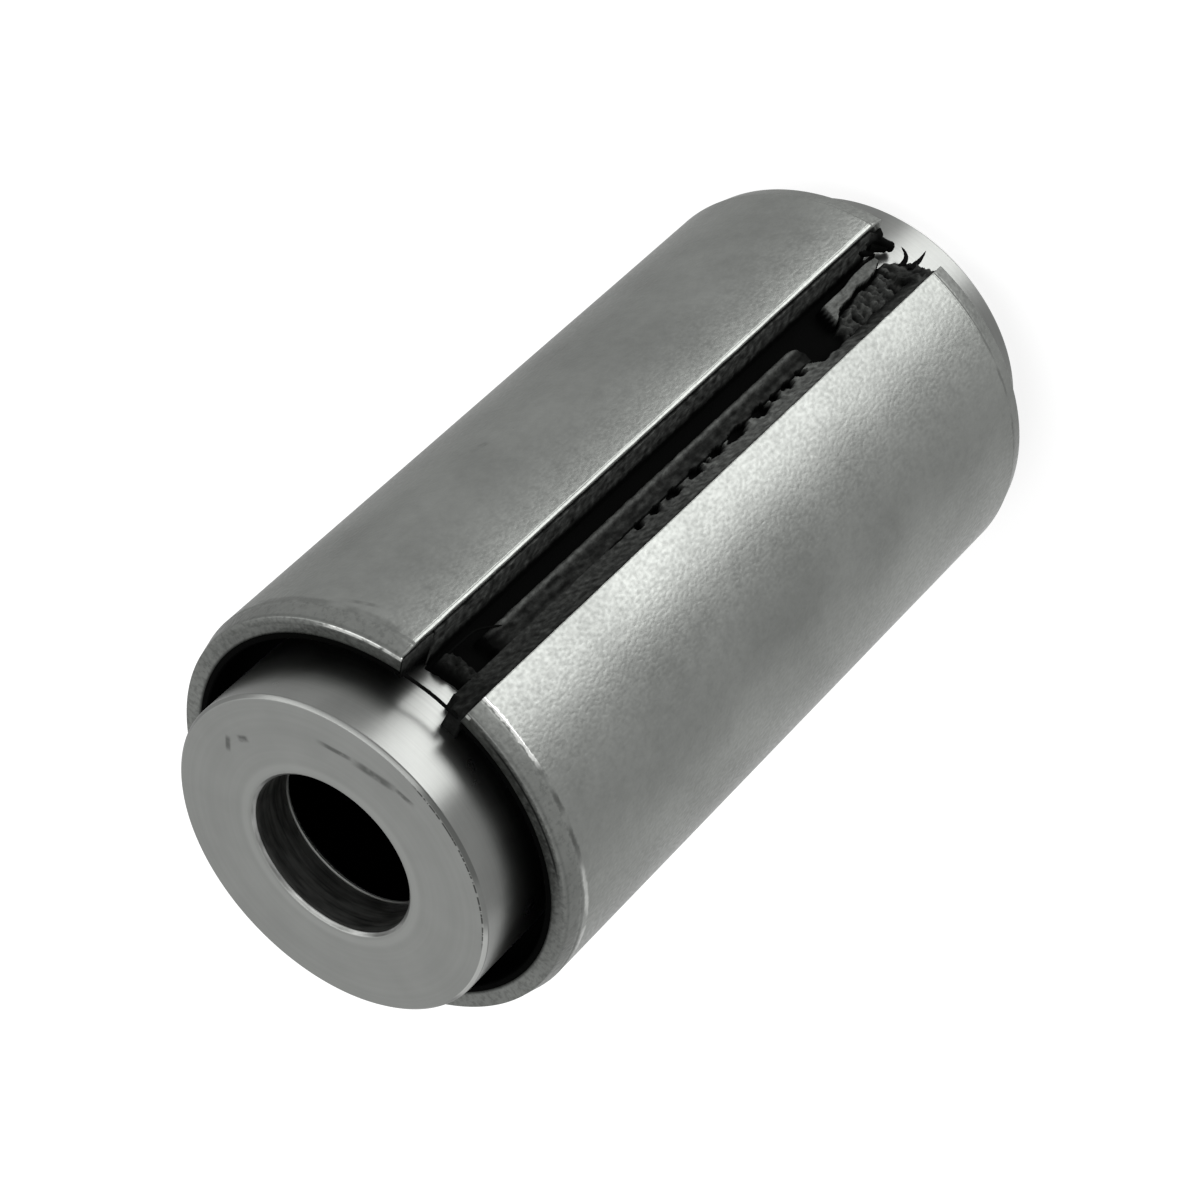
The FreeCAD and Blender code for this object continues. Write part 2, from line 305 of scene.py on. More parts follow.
@dataclass
class Value:
    """One socket's value, on which Python's operators add Math nodes."""

    canvas: NodeCanvas
    socket: Any
    made: Any = None

    def other(self, output: int | str) -> "Value":
        """Another output of the same node."""
        return Value(self.canvas, self.made.outputs[output], self.made)

    def maths(self, operation: str, first: Any, second: Any = None) -> "Value":
        """Add one Math node on one or two numbers or values."""
        given = {index: item for index, item in enumerate((first, second)) if item is not None}
        return self.canvas.node("ShaderNodeMath", {"operation": operation}, given)

    def __add__(self, other: Any) -> "Value":
        """Sum."""
        return self.maths("ADD", self, other)

    def __radd__(self, other: Any) -> "Value":
        """Sum, with the number first."""
        return self.maths("ADD", other, self)

    def __sub__(self, other: Any) -> "Value":
        """Difference."""
        return self.maths("SUBTRACT", self, other)

    def __rsub__(self, other: Any) -> "Value":
        """Difference, with the number first."""
        return self.maths("SUBTRACT", other, self)

    def __mul__(self, other: Any) -> "Value":
        """Product."""
        return self.maths("MULTIPLY", self, other)

    def __rmul__(self, other: Any) -> "Value":
        """Product, with the number first."""
        return self.maths("MULTIPLY", other, self)

    def __abs__(self) -> "Value":
        """Size without sign."""
        return self.maths("ABSOLUTE", self)

    def most(self, other: Any) -> "Value":
        """The larger of two."""
        return self.maths("MAXIMUM", self, other)

    def rise(self, low: float, high: float) -> "Value":
        """Smooth rise from 0 at low to 1 at high; low may be the larger, for a fall.

        Args:
            low: Where the result is 0.
            high: Where the result is 1.

        Returns:
            The risen value.
        """
        return self.canvas.node("ShaderNodeMapRange", {"interpolation_type": "SMOOTHSTEP"},
                                {"Value": self, "From Min": min(low, high), "From Max": max(low, high),
                                 "To Min": 0.0 if low < high else 1.0, "To Max": 1.0 if low < high else 0.0},
                                output="Result")


@dataclass(frozen=True)
class Stroke:
    """A scratch or smear on a surface's own flat measures, from one end to the other, in millimetres."""

    start: tuple[float, float]
    finish: tuple[float, float]
    half_width: float


@dataclass(frozen=True)
class Span:
    """A stretch of one measure from low to high, and the width of the soft ends outside it."""

    low: float
    high: float
    soft: float


class SurfaceCanvas(NodeCanvas):
    """The node tree of a material, with the maps that this object's finishes share."""

    def __init__(self, name: str) -> None:
        """Start a material with an empty tree.

        Args:
            name: Name of the material.
        """
        self.material = bpy.data.materials.new(name)
        self.material.use_nodes = True
        self.material.node_tree.nodes.clear()
        super().__init__(self.material.node_tree)
        self.place = self.node("ShaderNodeTexCoord", output="Object")
        axes = self.node("ShaderNodeSeparateXYZ", inputs={"Vector": self.place}, output="X")
        self.x = axes * (1 / MM)
        self.y = axes.other("Y") * (1 / MM)
        self.height = axes.other("Z") * (1 / MM)
        squared = self.x * self.x + self.y * self.y
        self.radius = squared.maths("SQRT", squared)
        self.angle = self.x.maths("ARCTAN2", self.x, self.y * -1.0) * (180.0 / math.pi)

    def grain(self, size: float, detail: float = 2.0, roughness: float = 0.5, stretch: Point = (1.0, 1.0, 1.0),
              shift: float = 0.0) -> Value:
        """Noise between 0 and 1 whose lumps are about size millimetres wide.

        Args:
            size: Width of a lump, in millimetres.
            detail: How many finer layers are added.
            roughness: How strong the finer layers are.
            stretch: Factor on the scale of each axis.
            shift: Move along all axes, so that two maps differ.

        Returns:
            The noise's value.
        """
        place = self.node("ShaderNodeMapping", inputs={"Vector": self.place, "Location": (shift, shift, shift),
                                                       "Scale": tuple(part / (size * MM) for part in stretch)})
        return self.node("ShaderNodeTexNoise", inputs={"Vector": place, "Scale": 1.0, "Detail": detail,
                                                       "Roughness": roughness}, output="Fac")

    def lines(self, across: Value, spacing: float, detail: float = 3.0) -> Value:
        """Fine parallel lines, as a tool leaves them, as noise along one measure."""
        return self.node("ShaderNodeTexNoise", {"noise_dimensions": "1D"},
                         {"W": across, "Scale": 1.0 / spacing, "Detail": detail, "Roughness": 0.6}, output="Fac")

    def window(self, measure: Value, span: Span) -> Value:
        """1 where a measure lies in a span, falling to 0 over its soft ends."""
        return measure.rise(span.low - span.soft, span.low) * measure.rise(span.high + span.soft, span.high)

    def stroke(self, across: Value, along: Value, mark: Stroke) -> Value:
        """Mask of one stroke.

        Args:
            across: The surface's first flat measure, in millimetres.
            along: Its second one.
            mark: The stroke, on the same measures.

        Returns:
            1 in the stroke's middle and 0 outside, with a soft edge and long soft ends.
        """
        run, rise = mark.finish[0] - mark.start[0], mark.finish[1] - mark.start[1]
        length = math.hypot(run, rise)
        run, rise = run / length, rise / length
        from_x, from_y = across - mark.start[0], along - mark.start[1]
        forward = from_x * run + from_y * rise
        aside = abs(from_x * rise - from_y * run)
        body = Span(length * 0.3, length * 0.7, length * 0.4)
        return aside.rise(mark.half_width, mark.half_width * 0.3) * self.window(forward, body)

    def strokes(self, across: Value, along: Value, marks: Sequence[Stroke]) -> Value:
        """Mask of several strokes together.

        Args:
            across: The surface's first flat measure, in millimetres.
            along: Its second one.
            marks: The strokes, at least one.

        Returns:
            The strongest of the strokes' masks at each place.
        """
        total = self.stroke(across, along, marks[0])
        for mark in marks[1:]:
            total = total.most(self.stroke(across, along, mark))
        return total

    def blend(self, share: Value, first: Any, second: Any) -> Value:
        """Colour that goes from the first to the second as share goes from 0 to 1.

        Args:
            share: Value between 0 and 1.
            first: Colour, or a value that holds one, at 0.
            second: The same at 1.

        Returns:
            The mixed colour.
        """
        made = self.node("ShaderNodeMix", {"data_type": "RGBA", "blend_type": "MIX"}, {"Factor": share}, output=2)
        for index, given in ((6, first), (7, second)):
            if isinstance(given, Value):
                self.tree.links.new(given.socket, made.made.inputs[index])
            else:
                made.made.inputs[index].default_value = (*given, 1.0)
        return made

    def bump(self, height: Value, depth: float, strength: float = 1.0, under: Value | None = None) -> Value:
        """Bumped normal. height runs from 0 to 1 and depth is its reach in millimetres."""
        return self.node("ShaderNodeBump", inputs={"Height": height, "Distance": depth * MM, "Strength": strength,
                                                   "Normal": under}, output="Normal")

    def finish(self, fixed: dict[str, Any], **maps: Value) -> bpy.types.Material:
        """End the tree in a Principled shader.

        Args:
            fixed: Values of sockets that are the same all over.
            maps: Links, with the socket's name written with underscores.

        Returns:
            The finished material.
        """
        given = dict(fixed)
        given.update({name.replace("_", " "): link for name, link in maps.items()})
        shader = self.node("ShaderNodeBsdfPrincipled", inputs=given)
        self.node("ShaderNodeOutputMaterial", inputs={"Surface": shader})
        return self.material


@dataclass(frozen=True)
class BlastedSteel:
    """Finish of the outer sleeve: shot-blasted steel with a fine grain, cloudy tones and rubbed end edges, with
    painted highlights on the end edge and on stretches of the burr, and painted shade on the upper chamfer and on
    other stretches of the burr.

    Angles are in degrees from the slot's middle towards +X, and all other places and sizes are in millimetres.
    """

    light: Point = (0.209, 0.216, 0.206)
    dark: Point = (0.141, 0.146, 0.139)
    # Colour of the painted highlights on the end edge and on the burr, partly rubbed steel.
    rubbed_and_highlight: Point = (0.66, 0.67, 0.65)
    # Dark colour of the scuffs, and of the painted shade on the upper chamfer and on the burr.
    soot_and_shade: Point = (0.060, 0.062, 0.059)
    stain: Point = (0.012, 0.013, 0.012)
    edge_tint: float = 0.62
    roughness: float = 0.40
    cloud_size: float = 14.0
    mottle_size: float = 1.7
    grain_size: float = 0.46
    coarse_size: float = 0.8
    grain_stretch: Point = (1.0, 1.0, 0.72)
    relief_depth: float = 0.04
    scuffs: tuple[Stroke, ...] = (
        Stroke((17.5, 113.5), (12.0, 112.5), 0.45), Stroke((22.9, 80.0), (21.8, 77.3), 0.85),
    )
    highlight_edge: Span = Span(28.85, 29.2, 0.12)
    highlight_angles: Span = Span(9.0, 30.0, 7.0)
    glint_edge: Span = Span(28.5, 28.95, 0.15)
    glint_angles: Span = Span(-11.3, -10.4, 0.4)
    slot_edge: Span = Span(9.5, 11.0, 0.3)
    burr_depth: float = 2.75
    burr_drift: float = 0.8
    highlit_burr: Span = Span(-27.0, -11.0, 5.0)
    back_burr: Span = Span(-92.0, -62.0, 8.0)
    left_burr: Span = Span(8.0, 62.0, 10.0)
    right_burr: Span = Span(-56.0, -33.0, 5.0)
    lower_burr: Span = Span(-88.0, -34.0, 8.0)
    end_ring: Span = Span(27.3, 28.7, 0.35)
    thick_smear: Span = Span(-54.0, -24.0, 9.0)
    smear_line: float = 28.42
    wall_stain_radii: Fall = (29.5, 29.22)

    def material(self) -> bpy.types.Material:
        """Build the material.

        Returns:
            The material.
        """
        canvas = SurfaceCanvas("blasted_steel")
        depth = SIZES.sleeve_top - canvas.height
        clouds = canvas.grain(self.cloud_size, detail=3.0, roughness=0.5)
        mottle = canvas.grain(self.mottle_size, detail=3.0, roughness=0.6, shift=3.0)
        grain = canvas.grain(self.grain_size, detail=0.5, stretch=self.grain_stretch, shift=7.0)
        tone = clouds * 0.6 + mottle * 0.3 + grain * 0.16 - 0.03
        metal = canvas.blend(tone.rise(0.2, 0.8), self.dark, self.light)
        # Painted shade on the upper chamfer and the end ring.
        metal = canvas.blend(self.chamfer_shade(canvas, depth), metal, self.soot_and_shade)
        arc = canvas.angle * math.radians(SIZES.sleeve_radius)
        scuffed = canvas.strokes(arc, canvas.height, self.scuffs) * mottle.rise(0.35, 0.6)
        metal = canvas.blend(scuffed * 0.4, metal, self.soot_and_shade)
        # The burr's first mask paints shade on some stretches, and the second one, bare, paints highlights on
        # others.
        burr_shade, bare = self.burr(canvas, depth)
        metal = canvas.blend(burr_shade, metal, self.soot_and_shade)
        metal = canvas.blend(bare, metal, self.rubbed_and_highlight)
        metal = canvas.blend(self.end_smear(canvas, depth), metal, self.stain)
        # Painted highlight and painted glint on the upper end's edge.
        metal = canvas.blend(self.edge_highlight(canvas, depth), metal, self.rubbed_and_highlight)
        slot_edge = canvas.window(canvas.angle, self.slot_edge)
        rough = self.roughness + mottle * 0.08 + (grain - 0.5) * 0.31 - bare * 0.16 - slot_edge * 0.06 - 0.04
        coarse = canvas.grain(self.coarse_size, detail=1.0, stretch=self.grain_stretch, shift=13.0)
        relief = canvas.bump((grain * 0.8 + coarse * 0.35) * (1.0 - slot_edge * 0.85), self.relief_depth)
        return canvas.finish({"Metallic": 1.0, "Specular Tint": opaque(self.edge_tint)},
                             Base_Color=metal, Roughness=rough, Normal=relief)

    def edge_highlight(self, canvas: SurfaceCanvas, depth: Value) -> Value:
        """Mask of a painted highlight along the upper end's outer edge beside the slot's +X wall, and of a small
        painted glint on the end ring beside its -X wall.

        Args:
            canvas: The material's tree, with its measures.
            depth: Distance below the upper end, in millimetres.

        Returns:
            1 where the mark is full and 0 where there is none.
        """
        end = depth.rise(0.3, 0.15)
        # Painted highlight along the end ring's outer edge, broken into patches, and a painted glint beside the -X
        # wall.
        rim_highlight = canvas.window(canvas.radius, self.highlight_edge) * end * canvas.window(canvas.angle, self.highlight_angles)
        glint = canvas.window(canvas.radius, self.glint_edge) * end * canvas.window(canvas.angle, self.glint_angles)
        broken = canvas.grain(1.4, detail=2.0, shift=19.0).rise(0.3, 0.5)
        return (rim_highlight * broken).most(glint)

    def chamfer_shade(self, canvas: SurfaceCanvas, depth: Value) -> Value:
        """Mask of painted shade on the upper chamfer and the end ring, in coarse patches."""
        patches = canvas.grain(0.75, detail=3.0, roughness=0.65, shift=17.0)
        chamfer = depth.rise(2.5, 2.2) * canvas.radius.rise(29.1, 29.35) * (0.06 + patches * 0.28)
        return chamfer.most(depth.rise(2.7, 2.4) * patches.rise(0.42, 0.66) * 0.42)

    def burr(self, canvas: SurfaceCanvas, depth: Value) -> tuple[Value, Value]:
        """Masks along the rolled burr where the upper chamfer meets the side: painted shade on some stretches and
        painted highlights on others, partly rubbed.

        Args:
            canvas: The material's tree, with its measures.
            depth: Distance below the upper end, in millimetres.

        Returns:
            The painted shade's mask and the painted highlights' mask.
        """
        angle = canvas.angle
        ragged = canvas.grain(0.8, detail=2.0, shift=21.0) * 0.6 - 0.3
        sunk = depth - self.burr_depth - angle.rise(-42.0, -85.0) * self.burr_drift + ragged
        cloudy = canvas.grain(3.4, detail=1.0, shift=27.0).rise(0.3, 0.62)
        # Painted highlights on the burr beside the slot's -X wall and at the back.
        rubbed_and_highlight = canvas.window(angle, self.highlit_burr) * abs(sunk).rise(0.34, 0.14)
        back = canvas.window(angle, self.back_burr) * abs(sunk).rise(0.55, 0.15) * cloudy * 0.3
        # Painted shade on other stretches of the burr, on the upper chamfer and on the lower one.
        above = abs(depth - 3.0 + ragged)
        left = canvas.window(angle, self.left_burr) * above.rise(0.85, 0.1) * cloudy * 0.42
        right = canvas.window(angle, self.right_burr) * abs(sunk).rise(0.55, 0.1) * cloudy * 0.8
        below = abs(canvas.height - SIZES.sleeve_bottom - 2.7 + ragged)
        lower = canvas.window(angle, self.lower_burr) * below.rise(0.5, 0.1) * cloudy * 0.45
        return left.most(right).most(lower), rubbed_and_highlight.most(back)

    def end_smear(self, canvas: SurfaceCanvas, depth: Value) -> Value:
        """Mask of the rubber smeared on the upper end ring and on the slot's walls.

        Args:
            canvas: The material's tree, with its measures.
            depth: Distance below the upper end, in millimetres.

        Returns:
            1 where the mark is full and 0 where there is none.
        """
        radius, turned = canvas.radius, abs(canvas.angle)
        end = depth.rise(0.4, 0.2)
        patches = canvas.grain(1.2, detail=4.0, roughness=0.7, shift=2.0).rise(0.25, 0.62)
        wedge = canvas.window(canvas.angle, self.thick_smear)
        ring = canvas.window(radius, self.end_ring) * end * patches
        smear = ring * (0.22 + wedge * 0.32) * turned.rise(100.0, 70.0)
        inner = radius.rise(27.45, 26.95) * depth.rise(0.5, 0.3)
        line = abs(radius - self.smear_line).rise(0.3, 0.08) * end * (0.3 + wedge * 0.6) * turned.rise(80.0, 55.0)
        above = canvas.height.rise(SIZES.sleeve_bottom + 0.6, SIZES.sleeve_bottom + 2.2)
        wall = radius.rise(*self.wall_stain_radii) * depth.rise(0.1, 0.5) * above
        return smear.most(inner * 0.9).most(line).most(wall * 0.9)


@dataclass(frozen=True)
class TurnedSteel:
    """Finish of the inner tube: bright turned steel, with concentric lines on its ends and an oiled bore, painted
    highlights on the upper rim and the bore's ledge, and painted shade on part of the rim's chamfer and in the
    bore's relief.

    Angles are in degrees from the slot's middle towards +X, and all other places and sizes are in millimetres.
    """

    face: Point = (0.240, 0.246, 0.237)
    side: Point = (0.163, 0.167, 0.161)
    # Colour of the painted highlights on the upper rim and on the bore's ledge.
    bright: Point = (0.62, 0.63, 0.61)
    # Dark colour of the scuffs and the rim's line, and of the painted shade on the rim's chamfer.
    grime_and_shade: Point = (0.030, 0.031, 0.029)
    bore: Point = (0.36, 0.365, 0.355)
    oiled: Point = (0.10, 0.102, 0.098)
    unlit: Point = (0.004, 0.004, 0.004)
    edge_tint: float = 0.75
    roughness: float = 0.29
    haze_size: float = 6.0
    turning_pitch: float = 0.6
    band_pitch: float = 2.6
    side_pitch: float = 0.4
    bore_pitch: float = 0.9
    turning_depth: float = 0.012
    side_depth: float = 0.006
    halo_radius: float = 13.1
    grime_radius: float = 23.06
    burr_depth: float = 6.93
    deep_bore: Fall = (7.0, 7.5)
    highlight_edge: Span = Span(23.15, 23.5, 0.1)
    highlight_angles: Span = Span(-100.0, -72.0, 8.0)
    grime_angles: Span = Span(-72.0, -18.0, 6.0)
    shaded_angles: Span = Span(-46.0, -20.0, 7.0)
    face_marks: tuple[Stroke, ...] = (
        Stroke((7.6, -17.1), (2.4, -18.7), 0.5), Stroke((2.6, -18.5), (-4.0, -19.6), 0.85),
        Stroke((-3.6, -19.6), (-6.8, -19.4), 0.5), Stroke((18.4, -6.1), (17.6, -3.6), 0.55),
        Stroke((17.1, -6.9), (15.8, -8.2), 0.7),
    )

    def material(self) -> bpy.types.Material:
        """Build the material.

        Returns:
            The material.
        """
        canvas = SurfaceCanvas("turned_steel")
        depth = SIZES.tube_length - canvas.height
        face = depth.rise(0.14, 0.06).most(canvas.height.rise(0.14, 0.06))
        inside = canvas.radius.rise(13.4, 13.1) * (1.0 - face)
        haze = canvas.grain(self.haze_size, detail=3.0, shift=4.0)
        turns = canvas.lines(canvas.radius, self.turning_pitch)
        threads = canvas.lines(canvas.height, self.side_pitch)
        side_metal = self.side_metal(canvas, threads, haze)
        metal = canvas.blend(face, side_metal, self.face_metal(canvas, turns, haze, depth))
        metal = canvas.blend(inside, metal, self.bore_metal(canvas, depth))
        # Dark broken line along the rim, and painted shade on a stretch of its chamfer.
        metal = canvas.blend(self.rim_grime_and_shade(canvas, depth), metal, self.grime_and_shade)
        # Painted highlight on a stretch of the upper rim's edge.
        rim_highlight = canvas.window(canvas.angle, self.highlight_angles) * canvas.window(canvas.radius, self.highlight_edge)
        metal = canvas.blend(rim_highlight * depth.rise(0.6, 0.4) * 0.5, metal, self.bright)
        rough = self.roughness + haze * 0.08 + face * 0.13 + inside * 0.09 - 0.04
        speckle = canvas.grain(0.5, shift=9.0)
        under = canvas.bump((turns * 0.5 + speckle * 0.7) * face, self.turning_depth, 0.5)
        cut = canvas.bump(threads * (1.0 - face), self.side_depth, 0.4, under)
        return canvas.finish({"Metallic": 1.0, "Specular Tint": opaque(self.edge_tint)},
                             Base_Color=metal, Roughness=rough, Normal=cut)

    def side_metal(self, canvas: SurfaceCanvas, threads: Value, haze: Value) -> Value:
        """Colour of the tube's outer side."""
        tone = (threads * 0.35 + haze * 0.65).rise(0.3, 0.7)
        return canvas.blend(tone, scaled(self.side, 0.9), scaled(self.side, 1.08))

    def face_metal(self, canvas: SurfaceCanvas, turns: Value, haze: Value, depth: Value) -> Value:
        """Colour of the tube's ends, with turning marks, a lighter ring by the bore and scuffs on the upper end.

        Args:
            canvas: The material's tree, with its measures.
            turns: Fine lines of the turning tool.
            haze: Broad soft patches.
            depth: Distance below the upper end, in millimetres.

        Returns:
            The colour.
        """
        bands = canvas.lines(canvas.radius + 40.0, self.band_pitch, 1.0)
        tone = (turns * 0.2 + bands * 0.35 + haze * 0.55 - 0.05).rise(0.25, 0.75)
        metal = canvas.blend(tone, scaled(self.face, 0.93), scaled(self.face, 1.07))
        halo = abs(canvas.radius - self.halo_radius).rise(0.9, 0.2)
        metal = canvas.blend(halo * 0.35, metal, scaled(self.face, 1.35))
        scuffed = canvas.strokes(canvas.x, canvas.y, self.face_marks) * depth.rise(1.0, 0.5)
        soft = canvas.grain(1.3, detail=2.0, shift=14.0).rise(0.1, 0.55)
        return canvas.blend(scuffed * soft * 0.62, metal, self.grime_and_shade)

    def bore_metal(self, canvas: SurfaceCanvas, depth: Value) -> Value:
        """Colour of the bore: oiled streaks on the lands, a painted highlight on the burr where the upper one ends,
        and painted shade in the relief.

        Args:
            canvas: The material's tree, with its measures.
            depth: Distance below the upper end, in millimetres.

        Returns:
            The colour.
        """
        rings = canvas.lines(canvas.height, self.bore_pitch, 2.0)
        streaks = canvas.grain(2.2, detail=3.0, stretch=(0.5, 0.5, 3.0), shift=8.0)
        metal = canvas.blend((rings * 0.5 + streaks * 0.6 - 0.05).rise(0.32, 0.68), self.oiled, self.bore)
        # Painted shade deep in the relief, and a painted highlight on the ledge's burr.
        deep = depth.rise(*self.deep_bore) * canvas.height.rise(*self.deep_bore)
        metal = canvas.blend(deep, metal, self.unlit)
        return canvas.blend(abs(depth - self.burr_depth).rise(0.36, 0.2), metal, self.bright)

    def rim_grime_and_shade(self, canvas: SurfaceCanvas, depth: Value) -> Value:
        """Mask of the dark broken line along the upper rim, and of painted shade on a stretch of its chamfer.

        Args:
            canvas: The material's tree, with its measures.
            depth: Distance below the upper end, in millimetres.

        Returns:
            1 where the mark is full and 0 where there is none.
        """
        angle, radius = canvas.angle, canvas.radius
        broken = canvas.lines(angle, 2.4, 2.0).rise(0.38, 0.5)
        line = abs(radius - self.grime_radius).rise(0.16, 0.05) * depth.rise(0.5, 0.3)
        line = line * canvas.window(angle, self.grime_angles)
        # Painted shade on a stretch of the rim's chamfer.
        painted_shade = radius.rise(23.08, 23.2) * depth.rise(0.62, 0.5) * canvas.window(angle, self.shaded_angles)
        return (line * broken * 0.9).most(painted_shade * 0.5)


@dataclass(frozen=True)
class MouldedRubber:
    """Finish of the rubber: dull black, greyer where the moulding left a dusty skin."""

    fresh: Point = (0.0014, 0.0015, 0.0014)
    dusty: Point = (0.150, 0.155, 0.148)
    roughness: float = 0.66
    sheen_level: float = 0.01
    patch_size: float = 0.9
    fibre_size: float = 0.30
    relief_depth: float = 0.12

    def material(self) -> bpy.types.Material:
        """Build the material. The skin attribute says how dusty each place is; along the land's bead it also holds a
        painted highlight.

        Returns:
            The material.
        """
        canvas = SurfaceCanvas("moulded_rubber")
        skin = canvas.node("ShaderNodeAttribute", {"attribute_name": SKIN}, output="Fac")
        patches = canvas.grain(self.patch_size, detail=4.0, roughness=0.65)
        fibres = canvas.grain(self.fibre_size, detail=3.0, roughness=0.6, stretch=(1.0, 1.0, 0.45), shift=5.0)
        tone = canvas.blend((skin * (patches + fibres * 0.8)).rise(0.0, 1.0), self.fresh, self.dusty)
        rough = self.roughness + patches * 0.15
        relief = canvas.bump(patches * 0.6 + fibres * 0.5, self.relief_depth, 0.7)
        return canvas.finish({"Specular IOR Level": self.sheen_level, "Metallic": 0.0}, Base_Color=tone,
                             Roughness=rough, Normal=relief)


@dataclass(frozen=True)
class PaleFloor:
    """Finish of the floor: white to the eye, with a soft shadow, and clear from below."""

    glow: float = 0.80
    paint: float = 0.35

    def material(self) -> bpy.types.Material:
        """Build the material. Only the camera meets the floor, so light reaches the bushing from all round.

        Returns:
            The material.
        """
        canvas = SurfaceCanvas("pale_floor")
        lit = canvas.node("ShaderNodeBsdfDiffuse", inputs={"Color": opaque(self.paint)})
        glow = canvas.node("ShaderNodeEmission", inputs={"Color": opaque(1.0), "Strength": self.glow})
        both = canvas.node("ShaderNodeAddShader", inputs={0: lit, 1: glow})
        under = canvas.node("ShaderNodeNewGeometry", output="Backfacing")
        clear = canvas.node("ShaderNodeBsdfTransparent")
        one_sided = canvas.node("ShaderNodeMixShader", inputs={0: under, 1: both, 2: clear})
        canvas.node("ShaderNodeOutputMaterial", inputs={"Surface": one_sided})
        return canvas.material


class GeometryCanvas(NodeCanvas):
    """A Geometry Nodes tree with named inputs, which ends in realised instances and a material."""

    def __init__(self, name: str, inputs: Sequence[tuple[str, str, Any]]) -> None:
        """Start a tree.

        Args:
            name: Name of the tree.
            inputs: Name, socket type and value of each input after the geometry.
        """
        tree = bpy.data.node_groups.new(name, "GeometryNodeTree")
        tree.interface.new_socket("Geometry", in_out="INPUT", socket_type="NodeSocketGeometry")
        self.given: dict[str, Any] = {}
        for label, kind, value in inputs:
            socket = tree.interface.new_socket(label, in_out="INPUT", socket_type=kind)
            self.given[socket.identifier] = value
        tree.interface.new_socket("Geometry", in_out="OUTPUT", socket_type="NodeSocketGeometry")
        super().__init__(tree)
        self.entry = self.node("NodeGroupInput", output="Geometry")

    def input(self, label: str) -> Value:
        """One of the tree's named inputs."""
        return self.entry.other(label)

    def close(self, shape: Value, material: Value) -> None:
        """Realise the instances, set the material and end the tree."""
        real = self.node("GeometryNodeRealizeInstances", inputs={"Geometry": shape})
        dressed = self.node("GeometryNodeSetMaterial", inputs={"Geometry": real, "Material": material})
        self.node("NodeGroupOutput", inputs={"Geometry": dressed})

    def apply(self, carrier: bpy.types.Object, name: str) -> bpy.types.Object:
        """Run the tree on an object and keep the result as a plain mesh.

        Args:
            carrier: Object that holds the curves or points that the tree starts from. It is removed.
            name: Name of the new piece.

        Returns:
            The piece, with no modifier.
        """
        modifier = carrier.modifiers.new("nodes", "NODES")
        modifier.node_group = self.tree
        for identifier, value in self.given.items():
            modifier[identifier] = value
        carrier.update_tag()
        bpy.context.view_layer.update()
        graph = bpy.context.evaluated_depsgraph_get()
        mesh = bpy.data.meshes.new_from_object(carrier.evaluated_get(graph), depsgraph=graph)
        mesh.name = name
        carrier.modifiers.remove(modifier)
        bpy.data.objects.remove(carrier)
        piece = bpy.data.objects.new(name, mesh)
        bpy.context.scene.collection.objects.link(piece)
        return piece


def curve_object(name: str, lines: Sequence[Sequence[Point]], radii: Sequence[Sequence[float]] | None = None,
                 closed: bool = False) -> bpy.types.Object:
    """Make straight-sided curves from points in millimetres.

    Args:
        name: Name of the object.
        lines: Points of each curve.
        radii: Radius factor at each point, or None for 1.
        closed: Whether each curve joins its own start.

    Returns:
        The curve object.
    """
    curve = bpy.data.curves.new(name, "CURVE")
    curve.dimensions = "3D"
    for number, line in enumerate(lines):
        spline = curve.splines.new("POLY")
        spline.points.add(len(line) - 1)
        for index, (x, y, z) in enumerate(line):
            spline.points[index].co = (x * MM, y * MM, z * MM, 1.0)
            if radii is not None:
                spline.points[index].radius = radii[number][index]
        spline.use_cyclic_u = closed
    piece = bpy.data.objects.new(name, curve)
    bpy.context.scene.collection.objects.link(piece)
    return piece


class Lathe:
    """Turns an outline round the Z axis with Geometry Nodes, over a full circle or an arc of it."""

    PATH_RADIUS = 1.0

    def __init__(self, material: bpy.types.Material, segments: int, start: float = 0.0, sweep: float = 0.0) -> None:
        """Build the tree.

        Args:
            material: Finish of the turned piece.
            segments: Number of steps round the axis.
            start: Angle where an arc begins, from +X, in radians.
            sweep: Angle of the arc in radians, or 0 for a full circle.
        """
        canvas = GeometryCanvas("lathe", [
            ("Segments", "NodeSocketInt", segments),
            ("Path Radius", "NodeSocketFloat", self.PATH_RADIUS * MM),
            ("Start", "NodeSocketFloat", start),
            ("Sweep", "NodeSocketFloat", sweep),
            ("Finish", "NodeSocketMaterial", material),
        ])
        if sweep:
            path = canvas.node("GeometryNodeCurveArc", {"mode": "RADIUS"},
                               {"Resolution": canvas.input("Segments"), "Radius": canvas.input("Path Radius"),
                                "Start Angle": canvas.input("Start"), "Sweep Angle": canvas.input("Sweep")})
        else:
            path = canvas.node("GeometryNodeCurvePrimitiveCircle", {"mode": "RADIUS"},
                               {"Resolution": canvas.input("Segments"), "Radius": canvas.input("Path Radius")})
        upright = canvas.node("GeometryNodeSetCurveNormal", {"mode": "Z_UP"}, {"Curve": path})
        turned = canvas.node("GeometryNodeCurveToMesh", inputs={"Curve": upright, "Profile Curve": canvas.entry,
                                                                "Fill Caps": bool(sweep)})
        canvas.close(turned, canvas.input("Finish"))
        self.canvas = canvas

    def turn(self, name: str, outline: Profile) -> bpy.types.Object:
        """Turn a closed outline of radii and heights, in millimetres.

        Args:
            name: Name of the piece.
            outline: Radius and height of each point, in order.

        Returns:
            The turned piece.
        """
        flat = [(across - self.PATH_RADIUS, -up, 0.0) for across, up in outline]
        piece = self.canvas.apply(curve_object(f"{name}_outline", [flat], closed=True), name)
        turn_faces_out(piece, merge=0.0005)
        return piece


